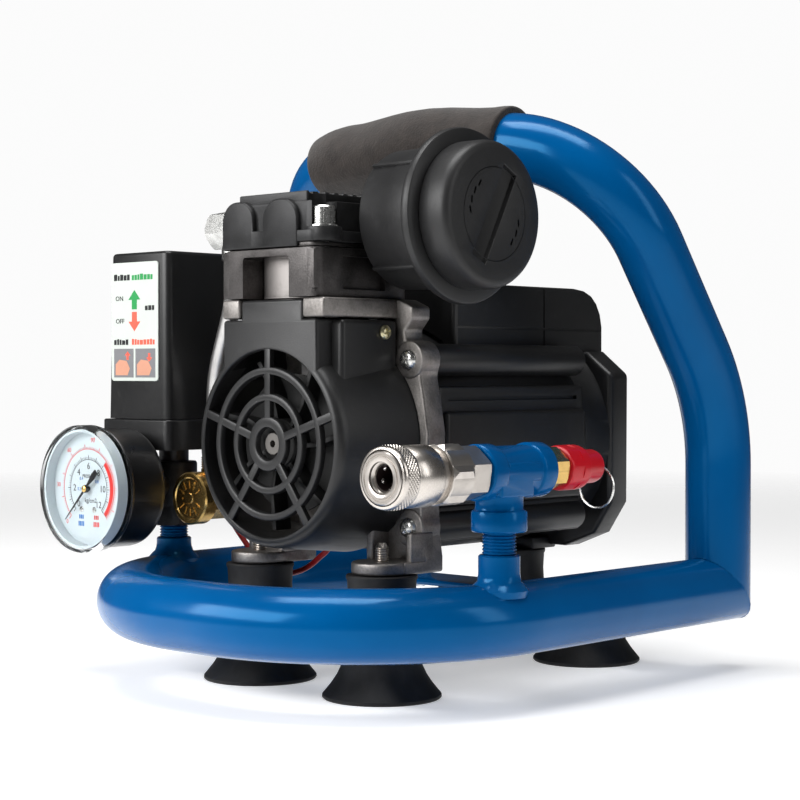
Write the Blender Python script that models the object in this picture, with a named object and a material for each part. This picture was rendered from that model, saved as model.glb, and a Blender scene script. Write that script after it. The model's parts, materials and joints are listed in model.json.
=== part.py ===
"""Portable oil-free air compressor: a tubular tank frame with a pump, motor, switch and gauge.

The model is drawn in millimetres around the middle of the front tube and placed in metres under
one root empty, which puts the origin at the bottom centre of the whole machine.
X runs to the right of the fan grille, -Y is the grille side and Z is up from the floor.
"""
import math

import bmesh
import bpy
from mathutils import Matrix, Vector

MM = 0.001
GAP = 0.3            # clearance between neighbouring pieces

# Tank frame
TUBE_R = 15.0        # 30 mm tube
TUBE_WALL = 1.5
HALF_W = 100.0       # leg centre to machine centre
HOOP_CORNER = 90.0   # bend of the front corners
HOOP_Z = 37.5
REAR_Y = 232.5       # mitre between hoop and handle
LEAN_START_Z = 95.0
LEAN_BEND = 85.0
LEAN = math.radians(37.8)
ARCH_H = 116.5
ARCH_CORNER = 57.0
ARCH_CROWN = 3.5
GRIP_R = 18.5

# Feet and pump mounts
FOOT_X = 38.0
FOOT_Y = (71.4, 213.5)
FOOT_R = 25.5
PLATE_Z = (30.0, 33.0)
BUSH_R = 15.3
BUSH_TOP = 52.2
LUG_Z = (52.5, 57.8)

# Pump
SHAFT_Z = 107.4
FACE_Y = 40.0        # front of the grille
FLANGE_Y = (84.0, 95.7)
DECK_Z = (161.0, 169.3)
EAR = (42.5, 36.0)   # motor screw position from the shaft
CYL = (1.0, 68.5)    # cylinder axis
CYL_R = 21.0
SCREW_DX = 24.5
SCREW_DY = 19.5
BLOCK_Z = (169.6, 190.4)
VALVE_Z = (190.7, 192.7)
HEAD_Z = (193.0, 212.6)
THROW = 4.5

# Motor
MOTOR_Y = (96.0, 200.0, 228.0)
MOTOR_R = 52.0
REST_Y = 205.0       # single rubber mount under the rear of the motor

# Left stack: switch, manifold and gauge
LEFT = (-100.0, 73.0)
LENS_R = 29.0
# Right stack: tee, coupler and safety valve
RIGHT = (100.0, 75.0)
TEE_Z = 98.0

FINISHES = {
    "blue_paint": ((0.004, 0.09, 0.33), 0.22, 0.0),
    "black_plastic": ((0.012, 0.012, 0.013), 0.42, 0.0),
    "black_rubber": ((0.010, 0.010, 0.010), 0.75, 0.0),
    "foam": ((0.016, 0.014, 0.013), 0.95, 0.0),
    "raw_aluminium": ((0.36, 0.34, 0.32), 0.48, 1.0),
    "black_cast": ((0.02, 0.02, 0.021), 0.5, 0.3),
    "bright_nickel": ((0.75, 0.72, 0.68), 0.18, 1.0),
    "zinc_steel": ((0.55, 0.54, 0.5), 0.3, 1.0),
    "bare_steel": ((0.42, 0.41, 0.4), 0.4, 1.0),
    "brass": ((0.72, 0.5, 0.2), 0.3, 1.0),
    "red_paint": ((0.55, 0.01, 0.015), 0.3, 0.0),
    "copper": ((0.6, 0.25, 0.14), 0.4, 1.0),
    "white_print": ((0.82, 0.84, 0.84), 0.45, 0.0),
    "clear_plastic": ((0.9, 0.93, 0.93), 0.06, 0.0),
    "white_ptfe": ((0.75, 0.75, 0.72), 0.5, 0.0),
    "grey_felt": ((0.3, 0.3, 0.29), 0.95, 0.0),
    "red_wire": ((0.5, 0.02, 0.02), 0.4, 0.0),
}


# ---------------------------------------------------------------- shape helpers

def face_outward(bm):
    """Point every face of a closed shape to its outside."""
    bmesh.ops.recalc_face_normals(bm, faces=bm.faces)
    if bm.calc_volume(signed=True) < 0:
        bmesh.ops.reverse_faces(bm, faces=bm.faces)
    return bm


def orient(bm, axis, centre):
    """Send the local Z of a shape to the given axis and move it to its centre."""
    for v in bm.verts:
        a, b, h = v.co
        if axis == "X":
            v.co = (h, a, b)
        elif axis == "Y":
            v.co = (a, h, b)
        v.co += Vector(centre)
    return face_outward(bm)


def prism(outline, low, high, axis="Z", centre=(0, 0, 0)):
    """Extrude a closed outline between two heights."""
    bm = bmesh.new()
    face = bm.faces.new([bm.verts.new((a, b, low)) for a, b in outline])
    grown = bmesh.ops.extrude_face_region(bm, geom=[face])
    top = [g for g in grown["geom"] if isinstance(g, bmesh.types.BMVert)]
    bmesh.ops.translate(bm, verts=top, vec=(0, 0, high - low))
    return orient(bm, axis, centre)


def circle(radius, sides, turn=0.0, centre=(0.0, 0.0)):
    """Points of a regular polygon."""
    step = 2 * math.pi / sides
    return [(centre[0] + radius * math.cos(turn + i * step),
             centre[1] + radius * math.sin(turn + i * step)) for i in range(sides)]


def rod(radius, low, high, axis="Z", centre=(0, 0, 0), sides=24, turn=0.0):
    """A round, or with few sides a hexagonal, bar."""
    return prism(circle(radius, sides, turn), low, high, axis, centre)


def block(x, y, z):
    """A box between two limits on each axis."""
    return prism([(x[0], y[0]), (x[1], y[0]), (x[1], y[1]), (x[0], y[1])], z[0], z[1])


def rounded(x, y, radius, steps=3):
    """Outline of a rectangle with round corners."""
    corners = ((x[1], y[1], 0), (x[0], y[1], 1), (x[0], y[0], 2), (x[1], y[0], 3))
    points = []
    for cx, cy, quarter in corners:
        sx = -1 if quarter in (0, 3) else 1
        sy = -1 if quarter in (0, 1) else 1
        for i in range(steps + 1):
            a = (quarter + i / steps) * math.pi / 2
            points.append((cx + sx * radius + radius * math.cos(a),
                           cy + sy * radius + radius * math.sin(a)))
    return points


def lathe(profile, axis="Z", centre=(0, 0, 0), sides=24):
    """Turn an outline of (radius, height) points; it may start and end on the axis."""
    bm = bmesh.new()
    verts = [bm.verts.new((r, 0, h)) for r, h in profile]
    open_ended = profile[0][0] == 0 and profile[-1][0] == 0
    count = len(verts)
    edges = [bm.edges.new((verts[i], verts[(i + 1) % count]))
             for i in range(count - 1 if open_ended else count)]
    bmesh.ops.spin(bm, geom=verts + edges, cent=(0, 0, 0), axis=(0, 0, 1),
                   angle=2 * math.pi, steps=sides, use_merge=True)
    bmesh.ops.remove_doubles(bm, verts=bm.verts, dist=0.001)
    return orient(bm, axis, centre)


def ring(inner, outer, low, high, axis="Z", centre=(0, 0, 0), sides=24):
    """A plain turned ring."""
    return lathe([(outer, low), (outer, high), (inner, high), (inner, low)], axis, centre, sides)


def sweep(path, radius, sides=16, bore=0.0, mitres=(None, None)):
    """Carry a circle along a path; each mitre is the (point, normal) of an end plane."""
    bm = bmesh.new()
    path = [Vector(p) for p in path]
    last = len(path) - 1
    side = None
    shells = {r: [] for r in ((radius, bore) if bore else (radius,))}
    for i, point in enumerate(path):
        ahead = (path[min(i + 1, last)] - point).normalized()
        behind = (point - path[max(i - 1, 0)]).normalized()
        along = (ahead + behind).normalized()
        side = along.orthogonal() if side is None else side - along * side.dot(along)
        side.normalize()
        up = along.cross(side)
        mitre = mitres[0] if i == 0 else mitres[1] if i == last else None
        for r, rings in shells.items():
            loop = []
            for k in range(sides):
                a = 2 * math.pi * k / sides
                co = point + side * (r * math.cos(a)) + up * (r * math.sin(a))
                if mitre:
                    at, normal = Vector(mitre[0]), Vector(mitre[1])
                    co += along * ((at - co).dot(normal) / along.dot(normal))
                loop.append(bm.verts.new(co))
            rings.append(loop)
    for rings in shells.values():
        for a, b in zip(rings, rings[1:]):
            for k in range(sides):
                n = (k + 1) % sides
                bm.faces.new((a[k], a[n], b[n], b[k]))
    outer = shells[radius]
    for end in (0, -1):
        if bore:
            inner = shells[bore]
            for k in range(sides):
                n = (k + 1) % sides
                bm.faces.new((outer[end][k], outer[end][n], inner[end][n], inner[end][k]))
        else:
            bm.faces.new(outer[end])
    return face_outward(bm)


def combine(obj, tool_bm, operation):
    """Join a shape to an object, or cut it away, and keep the result as the object's mesh."""
    mesh = bpy.data.meshes.new("tool")
    tool_bm.to_mesh(mesh)
    tool_bm.free()
    tool = bpy.data.objects.new("tool", mesh)
    bpy.context.scene.collection.objects.link(tool)
    step = obj.modifiers.new("step", "BOOLEAN")
    step.operation = operation
    step.solver = "EXACT"
    step.object = tool
    depsgraph = bpy.context.evaluated_depsgraph_get()
    result = bpy.data.meshes.new_from_object(obj.evaluated_get(depsgraph))
    obj.modifiers.remove(step)
    clean = bmesh.new()
    clean.from_mesh(result)
    bmesh.ops.remove_doubles(clean, verts=clean.verts, dist=0.004)
    clean.to_mesh(result)
    clean.free()
    obj.data = result
    bpy.data.objects.remove(tool)
    bpy.data.meshes.remove(mesh)


def make(name, finish, body, at=(0, 0, 0), turn=(0, 0, 0), joins=(), cuts=()):
    """Build one named sub-part in millimetres and place it in metres under the root."""
    mesh = bpy.data.meshes.new(name)
    body.to_mesh(mesh)
    body.free()
    obj = bpy.data.objects.new(name, mesh)
    bpy.context.scene.collection.objects.link(obj)
    for shape in joins:
        combine(obj, shape, "UNION")
    for shape in cuts:
        combine(obj, shape, "DIFFERENCE")
    obj.data.name = name
    obj.data.transform(Matrix.Scale(MM, 4))
    obj.data.shade_smooth()
    obj.data.set_sharp_from_angle(angle=math.radians(35))
    obj.data.materials.clear()
    obj.data.materials.append(new_material(name, finish))
    obj.location = Vector(at) * MM
    obj.rotation_euler = [math.radians(a) for a in turn]
    obj.parent = ROOT
    return obj


def new_material(name, finish):
    """A plain shader in one of the machine's finishes."""
    colour, roughness, metallic = FINISHES[finish]
    material = bpy.data.materials.new(name)
    material.use_nodes = True
    shader = material.node_tree.nodes["Principled BSDF"]
    shader.inputs["Base Color"].default_value = (*colour, 1.0)
    shader.inputs["Roughness"].default_value = roughness
    shader.inputs["Metallic"].default_value = metallic
    return material


def mirrored(points):
    """Complete a right-hand half outline with its left-hand image."""
    return points + [(-x, z) for x, z in reversed(points) if abs(x) > 1e-6]


# ---------------------------------------------------------------- tank frame

def hoop_path():
    """Centreline of the tank hoop, from the left mitre round the front to the right one."""
    left = []
    for i in range(8):
        a = math.pi + i * math.pi / 14
        left.append((-(HALF_W - HOOP_CORNER) + HOOP_CORNER * math.cos(a),
                     HOOP_CORNER + HOOP_CORNER * math.sin(a), HOOP_Z))
    left.insert(0, (-HALF_W, REAR_Y, HOOP_Z))
    return left + [(-x, y, z) for x, y, z in reversed(left)]


def arch_point(x, rise):
    """A point of the leaning part of the handle."""
    y = REAR_Y - LEAN_BEND * (1 - math.cos(LEAN)) - rise * math.sin(LEAN)
    z = LEAN_START_Z + LEAN_BEND * math.sin(LEAN) + rise * math.cos(LEAN)
    return (x, y, z)


def arch_top(steps, low, high):
    """The crowned top of the handle between two positions across the machine."""
    flat = HALF_W - ARCH_CORNER
    points = []
    for i in range(steps + 1):
        x = low + (high - low) * i / steps
        if abs(x) <= flat:
            points.append(arch_point(x, ARCH_H + ARCH_CROWN * (1 - (x / flat) ** 2) ** 2))
        else:
            s = (abs(x) - flat) / ARCH_CORNER
            points.append(arch_point(x, ARCH_H - ARCH_CORNER * (1 - math.sqrt(1 - s * s))))
    return points


def handle_path():
    """Centreline of the handle, from the left mitre over the top to the right one."""
    half = [(-HALF_W, REAR_Y, HOOP_Z)]
    for i in range(4):
        a = LEAN * i / 3
        half.append((-HALF_W, REAR_Y - LEAN_BEND * (1 - math.cos(a)),
                     LEAN_START_Z + LEAN_BEND * math.sin(a)))
    for i in range(6):
        a = math.pi / 2 * i / 5
        half.append(arch_point(-(HALF_W - ARCH_CORNER) - ARCH_CORNER * math.cos(a),
                               ARCH_H - ARCH_CORNER * (1 - math.sin(a))))
    top = arch_top(4, -HALF_W + ARCH_CORNER, HALF_W - ARCH_CORNER)[1:-1]
    return half + top + [(-x, y, z) for x, y, z in reversed(half)]


def build_frame():
    """Tank hoop with its welded sockets and mounting straps, the handle and the foam grip."""
    seam = GAP / 2
    below = ((0, REAR_Y - seam, HOOP_Z - seam), (0, 1, 1))
    above = ((0, REAR_Y + seam, HOOP_Z + seam), (0, 1, 1))
    bore = TUBE_R - TUBE_WALL
    front = [(0, -15), (79.5, -15), (84.5, 0), (86.8, 15), (0, 15)]
    rear = [(0, -14), (86.8, -14), (86.8, 14), (0, 14)]
    welded = [prism(mirrored(front), *PLATE_Z, centre=(0, FOOT_Y[0], 0)),
              prism(mirrored(rear), *PLATE_Z, centre=(0, FOOT_Y[1], 0)),
              lathe([(0, 48.5), (8.2, 48.5), (8.2, 60), (6.6, 60.6), (6.6, 72), (0, 72)],
                    centre=(*LEFT, 0), sides=12),
              lathe([(0, 48.5), (8.5, 48.5), (8.5, 64), (6.9, 64.6), (6.9, 80), (0, 80)],
                    centre=(*RIGHT, 0), sides=12)]
    drilled = [rod(4.0, HOOP_Z, 90, centre=(*LEFT, 0), sides=8),
               rod(4.0, HOOP_Z, 90, centre=(*RIGHT, 0), sides=8)]
    holes = [(sx * FOOT_X, y) for sx in (-1, 1) for y in FOOT_Y] + [(0, REST_Y)]
    drilled += [rod(3.3, 25, 40, centre=(*hole, 0), sides=10) for hole in holes]
    make("tank_hoop", "blue_paint", sweep(hoop_path(), TUBE_R, 12, bore, (below, below)),
         joins=welded, cuts=drilled)
    make("tank_handle", "blue_paint", sweep(handle_path(), TUBE_R, 12, bore, (above, above)))
    held = [Vector(p) for p in handle_path()[9:16]]
    held[-1] = held[-2].lerp(held[-1], 0.4)
    make("handle_grip", "foam", sweep(held, GRIP_R, 12, TUBE_R + 1.2))


def build_feet():
    """Four suction feet, and three rubber mounts with a bonded stud under the pump and motor."""
    sole = [(0, 8.0), (18.5, 0.0), (FOOT_R, 0.0), (FOOT_R - 0.4, 1.6), (17.5, 12.5), (14.2, 22.0),
            (14.0, 29.7)]
    socket = [(3.3, 29.7), (3.3, 20.0), (0, 20.0)]
    plug = [(3.0, 29.7), (3.0, 33.3), (5.0, 33.6), (4.0, 37.4), (0, 38.0)]
    for row, y, top in (("front", FOOT_Y[0], socket), ("rear", FOOT_Y[1], plug)):
        for side, sx in (("left", -1), ("right", 1)):
            make(f"foot_{row}_{side}", "black_rubber", lathe(sole + top, sides=16),
                 at=(sx * FOOT_X, y, 0))
    low = PLATE_Z[1] + GAP
    for tag, x, y, start, end in (("front_left", -FOOT_X, FOOT_Y[0], 20.4, 65.8),
                                  ("front_right", FOOT_X, FOOT_Y[0], 20.4, 65.8),
                                  ("rear", 0, REST_Y, 27.0, 59.5)):
        mount = [(0, start), (3.0, start), (3.0, low), (BUSH_R, low), (BUSH_R, BUSH_TOP),
                 (3.0, BUSH_TOP), (3.0, end), (0, end)]
        make(f"mount_{tag}", "black_rubber", lathe(mount, sides=14), at=(x, y, 0))


# ---------------------------------------------------------------- pump

def build_crankcase():
    """Grey casting: motor flange, deck arms under the cylinder and two feet."""
    half = [(0, 160), (22, 160), (22, DECK_Z[1]), (36, DECK_Z[1]), (44, 166), (44, 161), (39.5, 156),
            (40, 152), (47, 149), (50, 143), (48.5, 136), (50.5, 127), (53, 112), (52.5, 95),
            (49.5, 82), (50, 68), (51.5, 59), (51.5, LUG_Z[0]), (26, LUG_Z[0]), (26, LUG_Z[1]),
            (20, 62), (0, 63)]
    flange = prism(mirrored(half), *FLANGE_Y, axis="Y")
    joins = []
    for x0, x1 in ((-28, -17), (22, 35)):
        joins.append(block((x0, x1), (39.7, 90), DECK_Z))
    for sx in (-1, 1):
        x = sorted((sx * 26, sx * 51.5))
        joins.append(block(x, (FOOT_Y[0], 90), LUG_Z))
        joins.append(rod(13.0, *LUG_Z, centre=(sx * FOOT_X, FOOT_Y[0], 0), sides=14))
    cuts = [rod(13.3, 80, 99, "Y", (0, 0, SHAFT_Z))]
    for sx in (-1, 1):
        cuts.append(rod(3.3, 40, 70, centre=(sx * FOOT_X, FOOT_Y[0], 0), sides=10))
        for sz in (-1, 1):
            cuts.append(rod(2.6, 80, 99, "Y", (sx * EAR[0], 0, SHAFT_Z + sz * EAR[1]), 8))
        for sy in (-1, 1):
            cuts.append(rod(2.6, 150, 175, centre=(CYL[0] + sx * SCREW_DX, CYL[1] + sy * SCREW_DY, 0),
                            sides=8))
    make("crankcase", "raw_aluminium", flange, joins=joins, cuts=cuts)


def build_fan_cover():
    """Black plastic shroud with the round grille in front and a neck up to the cylinder."""
    front, rear = FACE_Y, FLANGE_Y[0] - GAP
    cone = lathe([(0, front), (42.8, front), (43.6, front + 1), (48.8, rear), (0, rear)], "Y",
                 (0, 0, SHAFT_Z), 26)
    joins = [block((-28, 30), (front + 0.2, rear - 0.6), (SHAFT_Z + 1.3, 160.5)),
             block((-36, 36), (49.4, rear - 0.3), (SHAFT_Z + 3.1, 160.3)),
             block((-16.5, 21.5), (front + 0.4, rear - 2), (150, 168.8))]
    cuts = [block((-25.5, 27.5), (front + 3.2, rear + 6), (SHAFT_Z + 5.3, 158)),
            block((-33.5, 33.5), (52, rear + 7), (SHAFT_Z + 7.1, 157.8)),
            block((-14.5, 19.5), (front + 3.4, rear - 4), (150.7, 175)),
            lathe([(0, front + 3), (40.3, front + 3), (45.8, rear + 5), (0, rear + 5)], "Y",
                  (0, 0, SHAFT_Z), 26)]
    bands = ((7.0, 11.7), (11.7, 18.3), (21.6, 29.6), (32.9, 40.3))
    for inner, outer in bands[1:]:
        for i in range(5):
            a0 = math.pi / 2 + i * 2 * math.pi / 5
            cuts.append(slot(inner, outer, a0, 1.8, front))
    cuts.append(rod(bands[0][0], front - 2, front + 6, "Y", (0, 0, SHAFT_Z), 16))
    cuts.append(rod(1.9, 31, 40, "X", (0, 75, 155), 10))
    make("fan_cover", "black_plastic", cone, joins=joins, cuts=cuts)


def slot(inner, outer, start, web, front):
    """One curved opening of the grille, between two spokes half a web wide on each side."""
    span = 2 * math.pi / 5
    arc = []
    for radius, steps in ((inner, 3), (outer, 5)):
        trim = web / radius
        run = [start + trim + (span - 2 * trim) * i / steps for i in range(steps + 1)]
        points = [(radius * math.cos(a), radius * math.sin(a)) for a in run]
        arc.append(points)
    return prism(arc[0] + arc[1][::-1], front - 2, front + 5, "Y", (0, 0, SHAFT_Z))


def build_cylinder():
    """Cylinder, its bracket, valve plate, head and the four head screws."""
    x, y = CYL
    corners = [(x + sx * SCREW_DX, y + sy * SCREW_DY) for sx in (-1, 1) for sy in (-1, 1)]

    def holes(radius):
        return [rod(radius, 140, 230, centre=(cx, cy, 0), sides=8) for cx, cy in corners]

    outline = rounded((x - 29, x + 29), (39.7, 97.3), 5, 2)
    make("cylinder", "raw_aluminium", ring(CYL_R, 22.6, BLOCK_Z[0], BLOCK_Z[1], sides=20),
         at=(x, y, 0))
    window = block((x - 15.5, x + 15.5), (30, 60), (172.5, 188))
    back = block((x - 15.5, x + 15.5), (80, 110), (172.5, 188))
    make("cylinder_bracket", "black_cast", prism(outline, *BLOCK_Z),
         cuts=[rod(22.9, 150, 200, centre=(x, y, 0), sides=20), window, back] + holes(2.6))
    make("valve_plate", "raw_aluminium", prism(outline, *VALVE_Z),
         cuts=[rod(3, 180, 200, centre=(x - 8, y, 0), sides=8),
               rod(3, 180, 200, centre=(x + 8, y, 0), sides=8)] + holes(2.6))
    fins = [block((x - 22 + 6.4 * i, x - 18.4 + 6.4 * i), (46, 91), (211, 214.5)) for i in range(7)]
    bosses = [rod(6.2, 198.7, 230, centre=(cx, cy, 0), sides=10) for cx, cy in corners]
    chambers = [block((x - 19, x - 1.5), (52, 86), (190, 207)),
                block((x + 1.5, x + 19), (52, 86), (190, 207))]
    intake = rod(4, 10, 40, "X", (0, 77, 203.5), 12)
    exhaust = rod(4, -40, -10, "X", (0, 62, 202), 12)
    make("cylinder_head", "black_cast", prism(outline, *HEAD_Z), joins=fins,
         cuts=chambers + [cut_boss for cut_boss in bosses] + [intake, exhaust] + holes(2.6))
    for i, (cx, cy) in enumerate(corners):
        screw = lathe([(0, 163), (2.3, 163), (2.3, 199), (4.35, 199), (4.35, 207.6), (2.3, 207.6),
                       (2.3, 204.8), (0, 204.8)], sides=10)
        make(f"head_screw_{i + 1}", "zinc_steel", screw, at=(cx, cy, 0))


def build_crank():
    """Everything that turns with the motor shaft, and the piston that it drives."""
    origin = (0, 0, SHAFT_Z)
    make("rotor", "bare_steel",
         lathe([(0, 46.5), (1.6, 46.5), (1.6, 43.6), (4.6, 43.6), (5, 44.2), (5, 118), (25, 118),
                (25, 182), (5, 182), (5, 222), (0, 222)], "Y", sides=14), at=origin)
    blades = []
    for i in range(7):
        a = i * 2 * math.pi / 7
        blades += [(11 * math.cos(a - 0.25), 11 * math.sin(a - 0.25)),
                   (11 * math.cos(a), 11 * math.sin(a)),
                   (37.5 * math.cos(a + 0.12), 37.5 * math.sin(a + 0.12)),
                   (37.5 * math.cos(a + 0.18), 37.5 * math.sin(a + 0.18)),
                   (12 * math.cos(a + 0.22), 12 * math.sin(a + 0.22))]
    make("cooling_fan", "black_plastic", prism(blades, 47, 57, "Y"), at=origin,
         cuts=[rod(5.3, 40, 60, "Y", sides=12)])
    weight = [(0, -5.0)] + [(28 * math.cos(a), 28 * math.sin(a)) for a in
                            [math.pi * (1.12 + 0.76 * i / 8) for i in range(9)]]
    make("eccentric", "bare_steel", rod(10.3, 62.5, 74.5, "Y", (0, 0, THROW), 20), at=origin,
         joins=[prism(weight, 74, 80, "Y"), rod(9, 74, 80, "Y", sides=14)],
         cuts=[rod(5.3, 60, 84, "Y", sides=12)])
    for name, low, high in (("bearing_front", 84.4, 93.4), ("bearing_rear", 209, 217)):
        make(name, "bare_steel", ring(5.3, 13.0, low, high, "Y", sides=14), at=origin)
    reach = 15.5
    loop = [lobe for lobe in stadium(19.0, THROW)]
    rod_eye = prism(loop, 65.2, 71.8, "Y", (0, 0, SHAFT_Z))
    shank = block((-4.5, 5.5), (65.2, 71.8), (SHAFT_Z + 20, 179))
    crown = rod(CYL_R - GAP, 178.5, 185.5, centre=(CYL[0], CYL[1], 0), sides=20)
    groove = ring(19.4, 22, 180.7, 183.7, centre=(CYL[0], CYL[1], 0), sides=20)
    make("piston_rod", "raw_aluminium", rod_eye, joins=[shank, crown],
         cuts=[prism(stadium(reach, THROW), 60, 78, "Y", (0, 0, SHAFT_Z)), groove])
    make("piston_seal", "white_ptfe", ring(19.8, CYL_R - 0.3, 181.0, 183.4, sides=20),
         at=(CYL[0], CYL[1], 0))


def stadium(radius, half, steps=8):
    """Outline of an eye stretched upright by half on each side."""
    points = []
    for sign in (1, -1):
        for i in range(steps + 1):
            a = (0 if sign == 1 else math.pi) + math.pi * i / steps
            points.append((radius * math.cos(a), sign * half + radius * math.sin(a)))
    return points


# ---------------------------------------------------------------- motor

def build_motor():
    """Ribbed motor housing with stator, rear cover, capacitor box and the flange screws."""
    front, seam, rear = MOTOR_Y
    outline = []
    for i in range(12):
        a = 2 * math.pi * i / 12
        for r, da in ((MOTOR_R - 2, -0.12), (MOTOR_R, -0.08), (MOTOR_R, 0.08), (MOTOR_R - 2, 0.12)):
            outline.append((r * math.cos(a + da), r * math.sin(a + da)))
    centre = (0, 0, SHAFT_Z)
    ears = [(sx * EAR[0], SHAFT_Z + sz * EAR[1]) for sx in (-1, 1) for sz in (-1, 1)]
    lugs = [rod(6.5, front, seam - 1, "Y", (x, 0, z), 12) for x, z in ears]
    webs = [prism([(x, z), (x * 0.75, SHAFT_Z + (z - SHAFT_Z) * 1.08),
                   (x * 0.7, SHAFT_Z + (z - SHAFT_Z) * 0.7), (x * 1.05, SHAFT_Z + (z - SHAFT_Z) * 0.7)],
                  front, seam - 1.6, "Y") for x, z in ears]
    holes = [rod(2.6, front - 2, front + 12, "Y", (x, 0, z), 10) for x, z in ears]
    make("motor_housing", "black_plastic", prism(outline, front, seam, "Y", centre),
         joins=lugs + webs, cuts=[rod(47.0, front - 5, seam + 5, "Y", centre, 24)] + holes)
    make("stator", "bare_steel", ring(25.5, 46.2, 120, 180, "Y", centre, 20))
    plate = mirrored([(0, 54), (24, 54), (42, 61), (52, 76), (52.4, 137), (38, 148), (0, 148)])
    make("motor_rear_cover", "black_plastic", prism(plate, seam + GAP, rear, "Y"),
         joins=[block((-15, 15), (REST_Y - 4, REST_Y + 14), (LUG_Z[0], 58))],
         cuts=[ring(17, 46.0, seam - 5, 222, "Y", centre, 24), rod(13.3, seam - 6, 222.6, "Y", centre, 14),
               rod(20, seam - 6, 206, "Y", centre, 16),
               rod(3.5, 45, 60, centre=(0, REST_Y, 0), sides=10)])
    for i, (x, z) in enumerate(ears):
        make(f"motor_screw_{i + 1}", "zinc_steel",
             lathe([(0, 81.2), (3.0, 81.3), (4.4, 82.4), (4.4, 83.7), (2.3, 83.7), (2.3, 106),
                    (0, 106)], "Y", sides=10), at=(x, 0, z))
    side = [(121, 130), (230, 130), (230, 160), (227.5, 170), (220, 177), (121, 178)]
    make("capacitor_box", "black_plastic", prism(side, -35.5, 35.5, "X"),
         cuts=[rod(MOTOR_R + 0.6, 90, 240, "Y", centre, 32),
               block((-50, 50), (198, 240), (100, 148.4)),
               block((-33, 33), (123.5, 225), (110, 175))])
    make("cover_screw", "zinc_steel",
         lathe([(0, 32.5), (1.5, 32.5), (1.5, 36.3), (2.7, 36.3), (2.7, 37.2), (1.6, 37.9), (0, 37.9)],
               "X", sides=10), at=(0, 75, 155))


# ---------------------------------------------------------------- air intake and delivery

def build_filter():
    """Intake filter on the right of the head, with a lid that twists off with a coin."""
    axis = (0, 90, 203.5)
    body = lathe([(0, 35), (30.0, 35), (30.5, 35.5), (30.5, 64.6), (37.2, 65.4), (37.2, 70),
                  (28.2, 70), (28.2, 38), (0, 38)], "X", axis, 24)
    make("filter_body", "black_plastic", body,
         joins=[rod(6.4, 30.3, 36, "X", (0, 77, 203.5), 16)],
         cuts=[rod(3.5, 25, 45, "X", (0, 77, 203.5), 12)])
    make("filter_element", "grey_felt", ring(8, 24.4, 38.4, 60, "X", axis, 24))
    lid = lathe([(0, 79.5), (25, 79.5), (25, 62), (27.8, 62), (27.8, 70.3), (31, 70.3), (31, 84),
                 (30, 85), (0, 85)], "X", sides=24)
    turn = math.radians(62)
    across, along = Vector((-math.sin(turn), math.cos(turn))), Vector((math.cos(turn), math.sin(turn)))
    slot_outline = [tuple(along * (sx * 21.5) + across * (sy * 4.6))
                    for sx, sy in ((-1, -1), (1, -1), (1, 1), (-1, 1))]
    make("filter_lid", "black_plastic", lid, at=axis,
         cuts=[prism(slot_outline, 82, 88, "X")])


def build_delivery():
    """Exhaust elbow, pipe, check valve and the manifold under the switch."""
    make("exhaust_elbow", "bright_nickel", rod(6.5, -42, CYL[0] - 29 - GAP, "X", (0, 62, 202), 16),
         joins=[rod(9.2, -55.5, -39, "X", (0, 62, 202), 6), rod(5.2, 188, 202, centre=(-45.5, 62, 0), sides=10)],
         cuts=[rod(2.6, -46, -20, "X", (0, 62, 202), 10), rod(2.6, 180, 203, centre=(-45.5, 62, 0), sides=8)])
    pipe = [(-45.5, 62, 187.6), (-45.5, 62, 176), (-47, 62.5, 168), (-51.5, 64, 159), (-57.5, 66, 149),
            (-63, 68, 139), (-66.2, 69.4, 130), (-67, 70, 120), (-67, 70, 99.6)]
    make("discharge_pipe", "raw_aluminium", sweep(pipe, 4.0, 8, 2.6))
    z = 80.5
    make("check_valve", "brass", rod(10.2, 60.5, 79, "Y", (-67, 0, z), 6, math.pi / 6),
         joins=[rod(12.0, 54, 61.5, "Y", (-67, 0, z), 20),
                rod(6.5, z, 99.3, centre=(-67, 70, 0), sides=12),
                rod(6.5, LEFT[0] + 11.4, -67, "X", (0, LEFT[1] - 1, z), 14)],
         cuts=[rod(2.8, z, 105, centre=(-67, 70, 0), sides=8),
               rod(2.8, LEFT[0] + 5, -66, "X", (0, LEFT[1] - 1, z), 10)])
    x, y = LEFT
    make("manifold", "black_cast", rod(12.0, 66, 76, centre=(x, y, 0), sides=6, turn=math.pi / 6),
         joins=[rod(11.0, 74, 96, centre=(x, y, 0), sides=14),
                rod(7.0, 95, 101.7, centre=(x, y, 0), sides=12),
                rod(7.0, y - 14, y, "Y", (x, 0, 85), 14)],
         cuts=[rod(7.0, 60, 73, centre=(x, y, 0), sides=12), rod(3.0, 70, 105, centre=(x, y, 0), sides=8),
               rod(3.0, y - 20, y, "Y", (x, 0, 85), 10), rod(3.0, x, x + 15, "X", (0, y - 1, z), 10)])


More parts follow.
